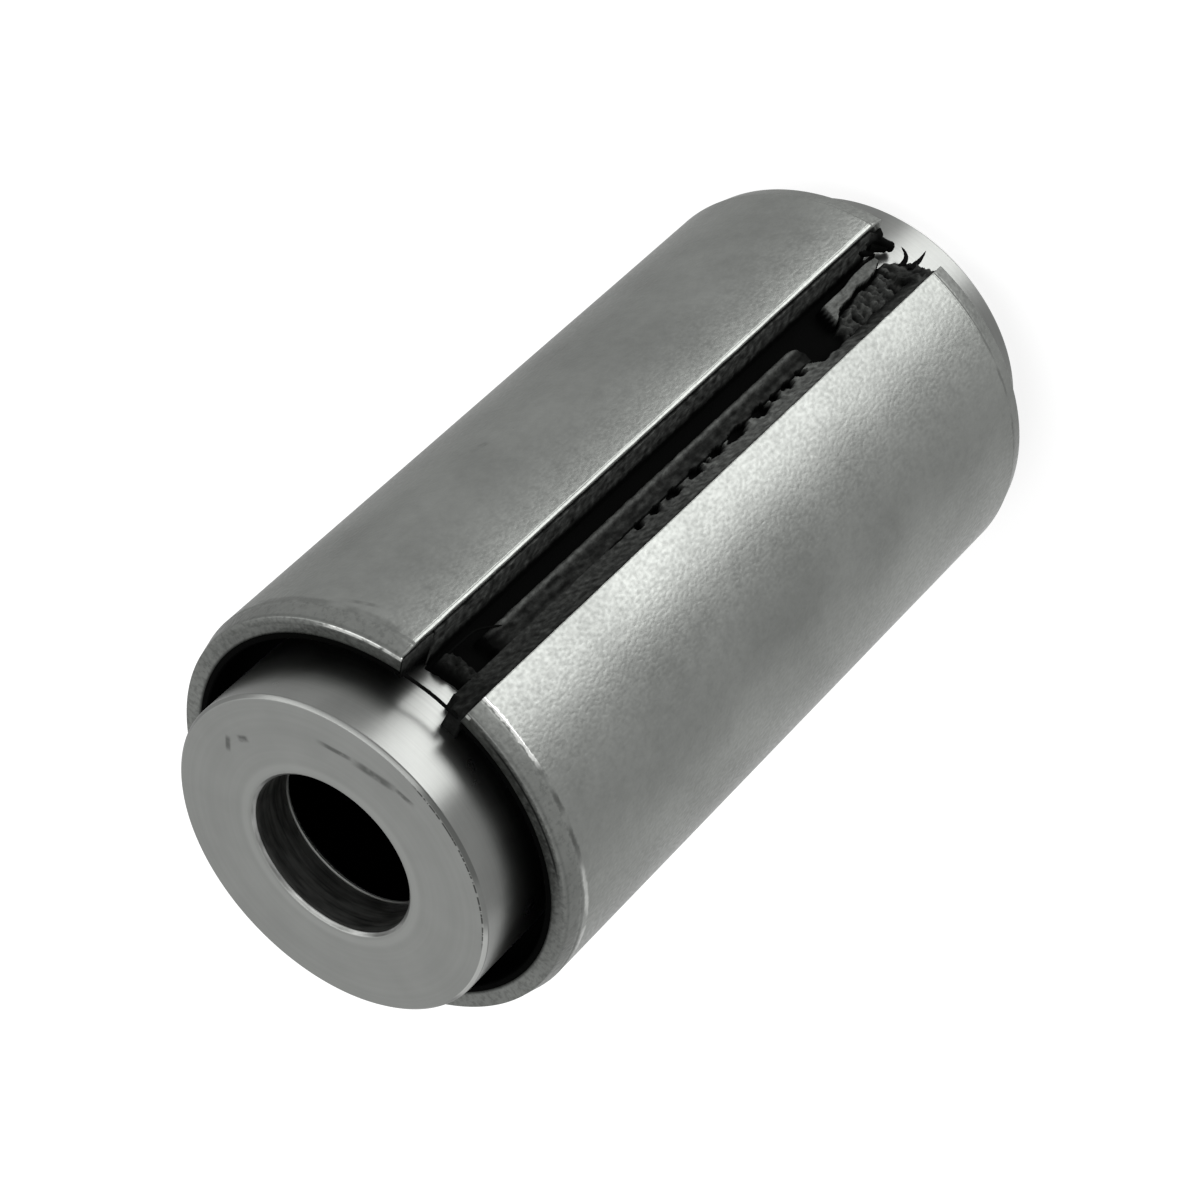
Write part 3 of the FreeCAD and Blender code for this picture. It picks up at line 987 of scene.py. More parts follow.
@dataclass
class Tube:
    """Thick inner tube: turned ends, broken edges and a bore that is relieved between two lands."""

    edge_chamfer: float = 0.5
    bore_chamfer: float = 0.5
    land_length: float = 6.7
    relief: float = 1.2
    ledge_height: float = 0.12
    edge_rounding: float = 0.12
    ledge_rounding: float = 0.06
    segments: int = 512
    crease: float = 28.0
    finish: TurnedSteel = field(default_factory=TurnedSteel)

    def outline(self) -> Profile:
        """Half section of the tube, with every edge slightly rounded and a burr where the upper land ends.

        Returns:
            Radius and height of each point, in order round the section.
        """
        outer, bore = SIZES.tube_radius, SIZES.bore_radius
        top = SIZES.tube_length
        burr, relieved = bore - self.ledge_height, bore + self.relief
        land_end = top - self.land_length
        outside = [(bore + self.bore_chamfer, 0.0), (outer - self.edge_chamfer, 0.0), (outer, self.edge_chamfer),
                   (outer, top - self.edge_chamfer), (outer - self.edge_chamfer, top),
                   (bore + self.bore_chamfer, top), (bore, top - self.bore_chamfer)]
        inside = [(bore, land_end + 0.18), (burr, land_end - 0.12), (burr, land_end - 0.34),
                  (relieved, land_end - self.relief - 0.3), (relieved, self.land_length + self.relief),
                  (bore, self.land_length)]
        corners = [(*corner, self.edge_rounding) for corner in outside]
        corners += [(*corner, self.ledge_rounding) for corner in inside]
        corners.append((bore, self.bore_chamfer, self.edge_rounding))
        return rounded(corners)

    def build(self) -> list[bpy.types.Object]:
        """Make the tube and let it stand for its CAD node.

        Returns:
            The one piece.
        """
        piece = Lathe(self.finish.material(), self.segments).turn("turned_tube", self.outline())
        shade(piece, self.crease)
        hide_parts("inner_tube")
        return [piece]


@dataclass
class Sleeve:
    """Slotted outer sleeve: blasted side, long end chamfers with a rolled burr, and worn slot edges.

    Distances from a slot wall are measured along the sleeve's outer arc, in millimetres.
    """

    ridge_height: float = 0.06
    ridge_offset: float = 0.02
    ridge_half_width: float = 0.28
    valley_depth: float = 0.03
    valley_offset: float = 0.4
    valley_half_width: float = 0.26
    burr_level: float = 0.15
    burr_angles: Fall = (-34.0, -26.0)
    dent_depth: float = 0.015
    dent_size: float = 17.0
    bevel_width: float = 0.37
    bevel_drop: float = 0.125
    bevel_waver: float = 0.22
    rounding_drop: float = 0.12
    rounding_width: float = 0.1
    sharp_drop: float = 0.05
    sharp_width: float = 0.14
    wave_height: float = 0.05
    wave_length: float = 3.1
    ripple_share: float = 0.35
    ripple_length: float = 0.7
    wave_reach: float = 1.0
    end_ring_middle: float = 28.4
    steps: int = 300
    crease: float = 40.0
    end_depths: tuple[float, ...] = (
        0.15, 0.3, 0.6, 1.0, 1.5, 2.0, 2.2, 2.3, 2.4, 2.5, 2.6, 2.68, 2.76, 2.84, 2.92, 3.0, 3.1, 3.3, 3.8, 4.5,
    )
    edge_distances: tuple[float, ...] = (
        0.0, 0.03, 0.06, 0.1, 0.15, 0.22, 0.3, 0.36, 0.42, 0.48, 0.54, 0.6, 0.7, 0.9, 1.3, 2.0, 3.0,
    )
    finish: BlastedSteel = field(default_factory=BlastedSteel)

    def side_radius(self, depth: float, burr: float) -> float:
        """Outer radius near an end, with the chamfer and the burr and hollow that the rolling left beside it.

        Args:
            depth: Distance from the nearer end.
            burr: Share of the burr's full height.

        Returns:
            The radius.
        """
        corner = SIZES.chamfer_length
        chamfered = SIZES.sleeve_radius - SIZES.chamfer_depth * max(0.0, 1.0 - depth / corner)
        ridge = self.ridge_height * burr * bump_shape(corner + self.ridge_offset, self.ridge_half_width, depth)
        valley = self.valley_depth * bump_shape(corner - self.valley_offset, self.valley_half_width, depth)
        return chamfered + ridge - valley

    def burr_share(self, angle: float) -> float:
        """How high the burr stands at an angle: most beside the slot's -X wall, and little elsewhere.

        Args:
            angle: Angle from the slot's middle, in radians.

        Returns:
            Share of the burr's full height.
        """
        degrees = math.degrees(angle) if angle < math.pi else math.degrees(angle) - 360.0
        beside = smooth_step(*self.burr_angles, degrees) * (1.0 if degrees < 0.0 else 0.0)
        return self.burr_level + (1.0 - self.burr_level) * beside

    def side_depths(self) -> list[float]:
        """Depths below the upper end at which the side has points, close together at both ends."""
        middle = [float(step) for step in range(6, int(SIZES.sleeve_length) - 5)]
        return [*self.end_depths, *middle, *(SIZES.sleeve_length - depth for depth in reversed(self.end_depths))]

    def loop(self) -> list[tuple[float, float, float]]:
        """Section of the wall.

        Returns:
            Radius, height and, on the outer side, depth from the nearer end (or -1) of each point.
        """
        top, bottom = SIZES.sleeve_top, SIZES.sleeve_bottom
        edge, bore = SIZES.sleeve_radius - SIZES.chamfer_depth, SIZES.sleeve_bore
        outside = [(SIZES.sleeve_radius, top - depth, min(depth, SIZES.sleeve_length - depth))
                   for depth in self.side_depths()]
        upper = [(bore, top - 0.25), (bore + 0.07, top - 0.07), (bore + 0.25, top), (self.end_ring_middle, top),
                 (edge - 0.2, top), (edge - 0.06, top - 0.03)]
        lower = [(edge - 0.06, bottom + 0.03), (edge - 0.2, bottom), (bore + 0.25, bottom),
                 (bore + 0.07, bottom + 0.07), (bore, bottom + 0.25)]
        return [(*point, -1.0) for point in upper] + outside + [(*point, -1.0) for point in lower]

    def edge_drop(self, side: Side, distance: float, height: float) -> float:
        """How far the outer side falls near a slot edge.

        Args:
            side: The nearer slot wall. The +X one has a hammered bevel, the other is only rubbed.
            distance: Distance from that wall.
            height: Height of the place.

        Returns:
            The fall of the radius.
        """
        if side is Side.MINUS:
            return self.sharp_drop * (1.0 - smooth_step(0.0, self.sharp_width, distance))
        width = self.bevel_width * (1.0 + self.bevel_waver * wobble(height / 6.0, 2.0, 5.0))
        rounding = self.rounding_drop * (1.0 - smooth_step(0.0, self.rounding_width, distance))
        return self.bevel_drop * max(0.0, 1.0 - distance / width) + rounding

    def edge_turn(self, side: Side, distance: float, height: float, radius: float) -> float:
        """Turn, in radians, that makes a slot edge slightly wavy.

        Args:
            side: The nearer slot wall.
            distance: Distance from that wall. The wave dies out away from it.
            height: Height of the place.
            radius: Radius of the place.

        Returns:
            The turn, positive from -Y towards +X.
        """
        if distance >= self.wave_reach:
            return 0.0
        wave = self.wave_height * wobble(height / self.wave_length, side.value * 9.0, radius / 8.0)
        wave += self.ripple_share * self.wave_height * wobble(height / self.ripple_length, side.value * 4.0, 2.0)
        return side.value * wave * (self.wave_reach - distance) / SIZES.sleeve_radius

    def columns(self) -> list[tuple[float, Side, float]]:
        """Columns of points round the sleeve, close together beside the slot.

        Returns:
            Angle, nearer slot wall and distance from it of every column.
        """
        radius, half = SIZES.sleeve_radius, SIZES.slot_half_angle
        whole = 2 * math.pi
        start = [(half + distance / radius, Side.PLUS, distance) for distance in self.edge_distances]
        finish = [(whole - half - distance / radius, Side.MINUS, distance)
                  for distance in reversed(self.edge_distances)]
        first, last = start[-1][0], finish[0][0]
        between = []
        for step in range(1, self.steps):
            angle = first + (last - first) * step / self.steps
            side = Side.PLUS if angle < math.pi else Side.MINUS
            between.append((angle, side, radius * min(angle - half, whole - half - angle)))
        return start + between + finish

    def build(self) -> list[bpy.types.Object]:
        """Make the sleeve and let it stand for its CAD node.

        Returns:
            The one piece.
        """
        loop, columns = self.loop(), self.columns()
        points: list[Point] = []
        for angle, side, distance in columns:
            burr = self.burr_share(angle)
            for radius, height, depth in loop:
                if depth >= 0.0:
                    radius = self.side_radius(depth, burr) - self.edge_drop(side, distance, height)
                    place = round_the_axis(radius / self.dent_size, angle, height / self.dent_size)
                    radius += self.dent_depth * wobble(*place, seed=3.0)
                points.append(round_the_axis(radius, angle + self.edge_turn(side, distance, height, radius), height))
        piece = mesh_object("slotted_sleeve", points, swept_faces(len(columns), len(loop), closed=False))
        turn_faces_out(piece)
        shade(piece, self.crease)
        piece.data.materials.append(self.finish.material())
        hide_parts("outer_sleeve")
        return [piece]


@dataclass(frozen=True)
class Channel:
    """Radii and places that all the parts of the slot's channel share, in millimetres.

    A place in the channel is given across the slot, positive on the +X side, and by its depth below the sleeve's
    upper end. The bare radius lies just under the tube's surface, so rubber that sinks to it doesn't show.
    """

    bare: float = 23.5
    floor: float = 24.0
    flash_start: float = -1.6
    flash_top: float = 29.1
    minus_side: float = -5.12
    lower_start: float = 104.0


CHANNEL = Channel()


@dataclass(frozen=True)
class Land:
    """Long land down the channel, with a rounded bead along it and a ragged start and finish."""

    top: float = 25.45
    bead_height: float = 0.5
    bead_middle: float = 0.85
    bead_half_width: float = 0.7
    start: float = 12.5
    finish: float = 84.3
    slant: float = 2.4
    slant_across: Fall = (0.3, 1.6)
    minus_edge: Fall = (-1.95, -1.6)
    plus_edge: Fall = (1.25, 1.65)
    clean_start: Fall = (11.5, 17.0)
    clean_finish: Fall = (81.5, 84.5)

    def surface(self, across: float, depth: float, rough: float) -> Skin:
        """Surface of the land, which is the channel's floor beyond its ends and sides.

        Args:
            across: Place across the slot.
            depth: Depth below the sleeve's end.
            rough: Roughness of the moulded surface there.

        Returns:
            Radius and dust.
        """
        start = self.start + 0.5 * wobble(across / 0.8, 3.0, 1.0)
        finish = self.finish + 0.6 * wobble(across / 0.9, 6.0, 1.0)
        finish -= self.slant * smooth_step(*self.slant_across, across)
        share = smooth_step(start - 0.4, start + 0.3, depth) * (1.0 - smooth_step(finish - 0.9, finish + 0.5, depth))
        beyond = smooth_step(*self.plus_edge, across + 0.12 * wobble(depth / 1.5, 1.0, 3.0))
        share *= smooth_step(*self.minus_edge, across) * (1.0 - beyond)
        bead = bump_shape(self.bead_middle, self.bead_half_width, across)
        radius = CHANNEL.floor + share * (self.top - CHANNEL.floor + self.bead_height * bead + 0.5 * rough)
        patches = 0.14 * wobble(across / 0.7, depth / 1.6, 2.0)
        fade = smooth_step(*self.clean_start, depth) * (1.0 - 0.55 * smooth_step(*self.clean_finish, depth))
        # The bead's extra dust also stands in for a painted highlight along it.
        return radius, share * (0.19 + 0.31 * bead + patches) * fade


@dataclass(frozen=True)
class UpperDam:
    """Short torn dam across the channel's upper end."""

    height: float = 1.7
    front: float = 5.95
    front_slant: float = 0.12
    back: Fall = (8.0, 8.9)
    minus_edge: Fall = (-3.3, -2.8)
    plus_edge: Fall = (2.7, 3.2)

    def front_wave(self, across: float) -> float:
        """How far the dam's ragged front strays from a straight line across the slot."""
        return 0.2 * wobble(across / 0.7, 1.0, 6.0)

    def surface(self, across: float, depth: float, lump: float) -> Skin:
        """Surface of the dam, which is the channel's floor beyond it.

        Args:
            across: Place across the slot.
            depth: Depth below the sleeve's end.
            lump: Height of the torn surface's lumps there.

        Returns:
            Radius and dust.
        """
        breadth = smooth_step(*self.minus_edge, across) * (1.0 - smooth_step(*self.plus_edge, across))
        front = self.front - self.front_slant * across + self.front_wave(across)
        behind = smooth_step(*self.back, depth + 0.6 * wobble(across / 0.9, 0.0, 1.0))
        share = smooth_step(front - 0.15, front + 0.35, depth) * (1.0 - behind) * breadth
        return CHANNEL.floor + share * (self.height + 2.0 * lump), share * (0.16 + 0.2 * lump)


@dataclass(frozen=True)
class LowerDam:
    """Long dam at the channel's lower end: a clean strip that stayed whole, beside a torn lumpy mass."""

    strip_top: float = 26.0
    strip_start: Fall = (91.0, 91.6)
    strip_finish: Fall = (105.5, 106.0)
    strip_side: float = 2.45
    strip_flare: float = 0.4
    strip_pinch: float = 0.25
    mass_start: Fall = (90.5, 92.0)
    mass_height: float = 1.0
    mass_fall: Fall = (104.0, 106.5)
    strip_edge: Profile = field(default_factory=lambda: [
        (91.2, -0.5), (92.2, -0.2), (93.8, 0.75), (97.0, 0.9), (99.1, 1.35), (101.6, 1.0), (104.1, 1.35),
        (105.4, 1.8),
    ])

    def surfaces(self, across: float, depth: float, rough: float, lump: float) -> list[Skin]:
        """Surfaces of the strip and of the mass, each the channel's floor beyond its own sides.

        Args:
            across: Place across the slot.
            depth: Depth below the sleeve's end.
            rough: Roughness of the moulded surface there.
            lump: Height of the torn surface's lumps there.

        Returns:
            Radius and dust of both.
        """
        edge = course_value(self.strip_edge, depth)
        edge += 0.14 * wobble(depth / 1.6, 2.0, 0.0) + 0.1 * wobble(depth / 0.5, 7.0, 0.0)
        along = smooth_step(*self.strip_start, depth - 0.3 * across)
        along *= 1.0 - smooth_step(*self.strip_finish, depth + 0.3 * wobble(across, 4.0, 2.0))
        side = self.strip_side + self.strip_flare * smooth_step(97.0, 101.0, depth)
        side -= self.strip_pinch * smooth_step(103.5, 105.5, depth)
        whole = smooth_step(edge - 0.15, edge + 0.12, across) * (1.0 - smooth_step(side, side + 0.35, across))
        share = along * whole
        strip = CHANNEL.floor + share * (self.strip_top - CHANNEL.floor + 0.25 * rough)
        dust = share * (0.62 + 0.2 * wobble(across / 0.6, depth / 1.1, 5.0)) * smooth_step(25.2, 25.8, strip)
        torn = smooth_step(*self.mass_start, depth + 0.8 * wobble(across / 0.8, 3.0, 0.0))
        torn *= 1.0 - smooth_step(edge - 0.7, edge - 0.25, across)
        mass = torn * (self.mass_height + 2.6 * lump) * (1.0 - smooth_step(*self.mass_fall, depth) * 0.3)
        return [(strip, dust), (CHANNEL.floor + mass, torn * (0.32 + 0.6 * lump))]


@dataclass(frozen=True)
class Tear:
    """A hole torn between the land and the flash, by its depths below the sleeve's end and its half width."""

    start: float
    finish: float
    half_width: float = 0.5
    middle_across: float = -1.98
    reach: float = 1.5

    def share(self, across: float, depth: float) -> float:
        """How far a place lies inside the hole.

        Args:
            across: Place across the slot.
            depth: Depth below the sleeve's end.

        Returns:
            1 inside the hole and 0 outside, with a ragged edge between.
        """
        if not self.start - self.reach < depth < self.finish + self.reach:
            return 0.0
        middle, half = (self.start + self.finish) / 2, (self.finish - self.start) / 2
        centre = self.middle_across + 0.16 * wobble(middle, 0.3, 0.7)
        slant = 0.22 * wobble(middle, 5.3, 0.7)
        along = (depth - middle) / (half * 1.15)
        aside = (across - centre - slant * (depth - middle)) / (self.half_width * 1.2)
        ragged = 0.42 * wobble(across / 0.5, depth / 0.6, 5.0) + 0.2 * wobble(across / 0.2, depth / 0.25, 9.0)
        return 1.0 - smooth_step(0.8, 1.15, math.hypot(along, aside) + ragged)


@dataclass(frozen=True)
class Flash:
    """Skin that climbs from the land to the slot's -X wall, with a crack and a row of holes beside the land."""

    low: float = 25.55
    upper_rise: float = 0.6
    pocket_rise: float = 0.9
    pocket_reach: float = 1.5
    pocket_start: Fall = (82.4, 84.2)
    pocket_finish: Fall = (106.0, 107.0)
    front_inset: float = 0.15
    front_depth: float = 0.3
    front_slope: float = 0.9
    crack_half_width: float = 0.14
    crack_depth: float = 0.7
    crack_start: Fall = (33.0, 40.0)
    crack_finish: Fall = (81.0, 83.0)
    dust_course: Profile = field(default_factory=lambda: [
        (0.0, 0.3), (5.0, 0.3), (9.0, 0.48), (20.0, 0.53), (34.0, 0.6), (48.0, 0.74), (60.0, 0.98), (70.0, 1.12),
        (81.0, 1.12), (88.0, 0.8), (94.0, 0.6), (110.0, 0.6),
    ])
    tears: tuple[Tear, ...] = (
        Tear(41.7, 43.2, 0.42), Tear(45.2, 47.2, 0.45), Tear(49.0, 51.7, 0.5), Tear(54.0, 56.7, 0.5),
        Tear(57.7, 58.3, 0.4), Tear(59.2, 61.7, 0.5), Tear(63.2, 67.2, 0.62), Tear(69.2, 72.2, 0.72),
        Tear(73.2, 75.2, 0.48), Tear(76.2, 78.2, 0.5), Tear(79.6, 81.3, 0.45),
    )

    def surface(self, across: float, depth: float) -> Skin:
        """Surface of the flash, which is bare beyond its edge.

        Args:
            across: Place across the slot.
            depth: Depth below the sleeve's end.

        Returns:
            Radius and dust.
        """
        upper = 1.0 - smooth_step(5.8, 7.5, depth)
        pocket = smooth_step(*self.pocket_start, depth) * (1.0 - smooth_step(*self.pocket_finish, depth))
        start = CHANNEL.flash_start - 0.05 * upper
        start -= (self.pocket_reach + 0.35 * wobble(depth / 1.7, 1.0, 8.0)) * pocket
        start += 0.12 * wobble(depth / 1.1, 6.0, 2.0) + 0.06 * wobble(depth / 0.4, 6.0, 2.0)
        if across > start:
            return CHANNEL.bare, 0.0
        share = min((start - across) / (start - CHANNEL.minus_side), 1.0)
        low = self.low + self.upper_rise * upper + self.pocket_rise * pocket
        lump = 0.16 * wobble(across / 0.8, depth / 1.0, 6.0) + 0.08 * wobble(across / 0.3, depth / 0.4, 6.0)
        radius = low + (CHANNEL.flash_top - low) * share ** (1.6 - 0.5 * pocket) + lump
        dust = 0.50 + 0.25 * wobble(across / 0.6, depth / 0.9, 3.0) - 0.35 * smooth_step(0.86, 1.0, share)
        dust *= course_value(self.dust_course, depth)
        inner = 1.0 - 0.5 * smooth_step(88.0, 93.0, depth) * (1.0 - smooth_step(0.0, 0.7, share))
        front = SIZES.sleeve_bore - self.front_inset + max(depth - self.front_depth, 0.0) / self.front_slope
        return min(radius, front), dust * inner

    def crack(self, across: float, depth: float) -> float:
        """Share of the crack's depth at a place beside the land."""
        middle = CHANNEL.flash_start - 0.02 + 0.14 * wobble(depth / 1.9, 3.0, 3.0)
        along = smooth_step(*self.crack_start, depth) * (1.0 - smooth_step(*self.crack_finish, depth))
        return bump_shape(middle, self.crack_half_width, across) * along

    def tear_open(self, across: float, depth: float, skin: Skin) -> Skin:
        """Cut the crack and the holes into a surface.

        Args:
            across: Place across the slot.
            depth: Depth below the sleeve's end.
            skin: Radius and dust of the whole surface.

        Returns:
            Radius and dust of the torn one.
        """
        radius, dust = skin
        crack = self.crack(across, depth)
        hole = max(tear.share(across, depth) for tear in self.tears)
        radius -= max(crack * self.crack_depth, hole * (radius - CHANNEL.floor - 0.2))
        return radius, dust * (1.0 - max(crack * 0.9, min(hole * 1.3, 1.0)))


@dataclass(frozen=True)
class TornEnd:
    """Torn lower end of the rubber: a mass that climbs towards the -X wall, a ledge by the other, a ragged edge."""

    front_start: float = 0.4
    front_step: float = 2.4
    front_across: Fall = (-2.75, -2.5)
    mass_height: float = 25.1
    mass_climb: float = 2.8
    mass_edge: Fall = (1.3, 1.9)
    ledge_height: float = 24.3
    ledge_climb: float = 1.4
    ledge_start: float = 3.0
    ledge_edge: Fall = (3.3, 3.7)
    wall_across: Fall = (4.0, 4.6)
    edge: Profile = field(default_factory=lambda: [
        (-5.2, 108.2), (-3.1, 108.7), (-1.0, 109.2), (-0.2, 108.7), (0.4, 107.9), (1.0, 107.2), (1.6, 106.5),
        (2.0, 105.9), (2.9, 105.9), (3.3, 107.9), (3.7, 108.9), (4.1, 109.9), (5.4, 110.3),
    ])

    def surface(self, across: float, depth: float) -> Skin:
        """Surface of the mass and the ledge, which is bare above them and between them.

        Args:
            across: Place across the slot.
            depth: Depth below the sleeve's end.

        Returns:
            Radius and dust.
        """
        lump = 0.55 * wobble(across / 1.2, depth / 1.1, 12.0) + 0.18 * wobble(across / 0.45, depth / 0.45, 12.0)
        wide = max(1.0 - smooth_step(*self.mass_edge, across), smooth_step(*self.ledge_edge, across))
        share = smooth_step(CHANNEL.lower_start, CHANNEL.lower_start + 1.3, depth) * wide
        wall = smooth_step(*self.wall_across, across)
        height = self.mass_height + self.mass_climb * smooth_step(0.0, -4.4, across) + 0.6 * wall + lump
        if across > self.ledge_start:
            height = self.ledge_height + self.ledge_climb * wall + 0.3 * lump
        return CHANNEL.bare + share * (height - CHANNEL.bare), (0.22 + 0.5 * lump) * share

    def left_share(self, across: float, depth: float) -> float:
        """How much of the rubber's height is left between the upper front and the ragged lower edge.

        Args:
            across: Place across the slot.
            depth: Depth below the sleeve's end.

        Returns:
            1 where there is rubber, falling to 0 across both edges.
        """
        edge = course_value(self.edge, across)
        edge += 0.3 * wobble(across / 0.5, 2.0, 12.0) + 0.12 * wobble(across / 0.2, 5.0, 12.0)
        front = self.front_start + self.front_step * smooth_step(*self.front_across, across)
        return (1.0 - smooth_step(edge - 0.25, edge + 0.15, depth)) * smooth_step(front - 0.1, front + 0.1, depth)


@dataclass(frozen=True)
class WallFilm:
    """Film of rubber on the slot's +X wall beyond both ends of the channel, thicker at the lower end."""

    top: float = 29.28
    foot: float = 25.9
    under: float = 25.8
    thickness: float = 0.35
    lower_thickening: float = 0.5
    lower_fall: float = 1.5
    lower_reach: Fall = (105.2, 108.2)
    fade_length: float = 0.5
    steps: int = 9

    def section(self, depth: float, fade: float) -> Section:
        """Section of the film.

        Args:
            depth: Depth below the sleeve's end.
            fade: Share of its full size, which falls towards its ends.

        Returns:
            Place across, radius and dust of each point.
        """
        lower = smooth_step(*self.lower_reach, depth)
        top = self.top + 0.12 * wobble(depth / 0.8, 1.0, 5.0) - 0.3 * (1.0 - fade) - self.lower_fall * lower
        thick = self.thickness + self.lower_thickening * lower
        section = [(wall_place(top) + HIDDEN, top, 0.0)]
        for step in range(self.steps + 1):
            share = step / self.steps
            radius = top - 0.1 - (top - 0.1 - self.foot) * share
            bulge = thick * (0.5 + 0.5 * math.sin(math.pi * min(share * 1.1, 1.0))) * (0.6 + 0.4 * fade)
            bulge += (0.12 + 0.2 * lower) * wobble(depth / 0.7, radius / 0.7, 3.0)
            section.append((wall_place(radius) - bulge, radius, (0.34 - 0.3 * share) * (1.0 - 0.8 * lower)))
        section.append((wall_place(self.under) + HIDDEN, self.under, 0.0))
        return section


def wall_place(radius: float) -> float:
    """Distance of the slot's radial wall from its middle plane at a radius."""
    return radius * math.sin(SIZES.slot_half_angle)


def channel_point(across: float, radius: float, depth: float) -> Point:
    """Place of a point of the channel by its distance across, its radius and its depth below the sleeve's end."""
    return across, -math.sqrt(max(radius * radius - across * across, 0.0)), SIZES.sleeve_top - depth


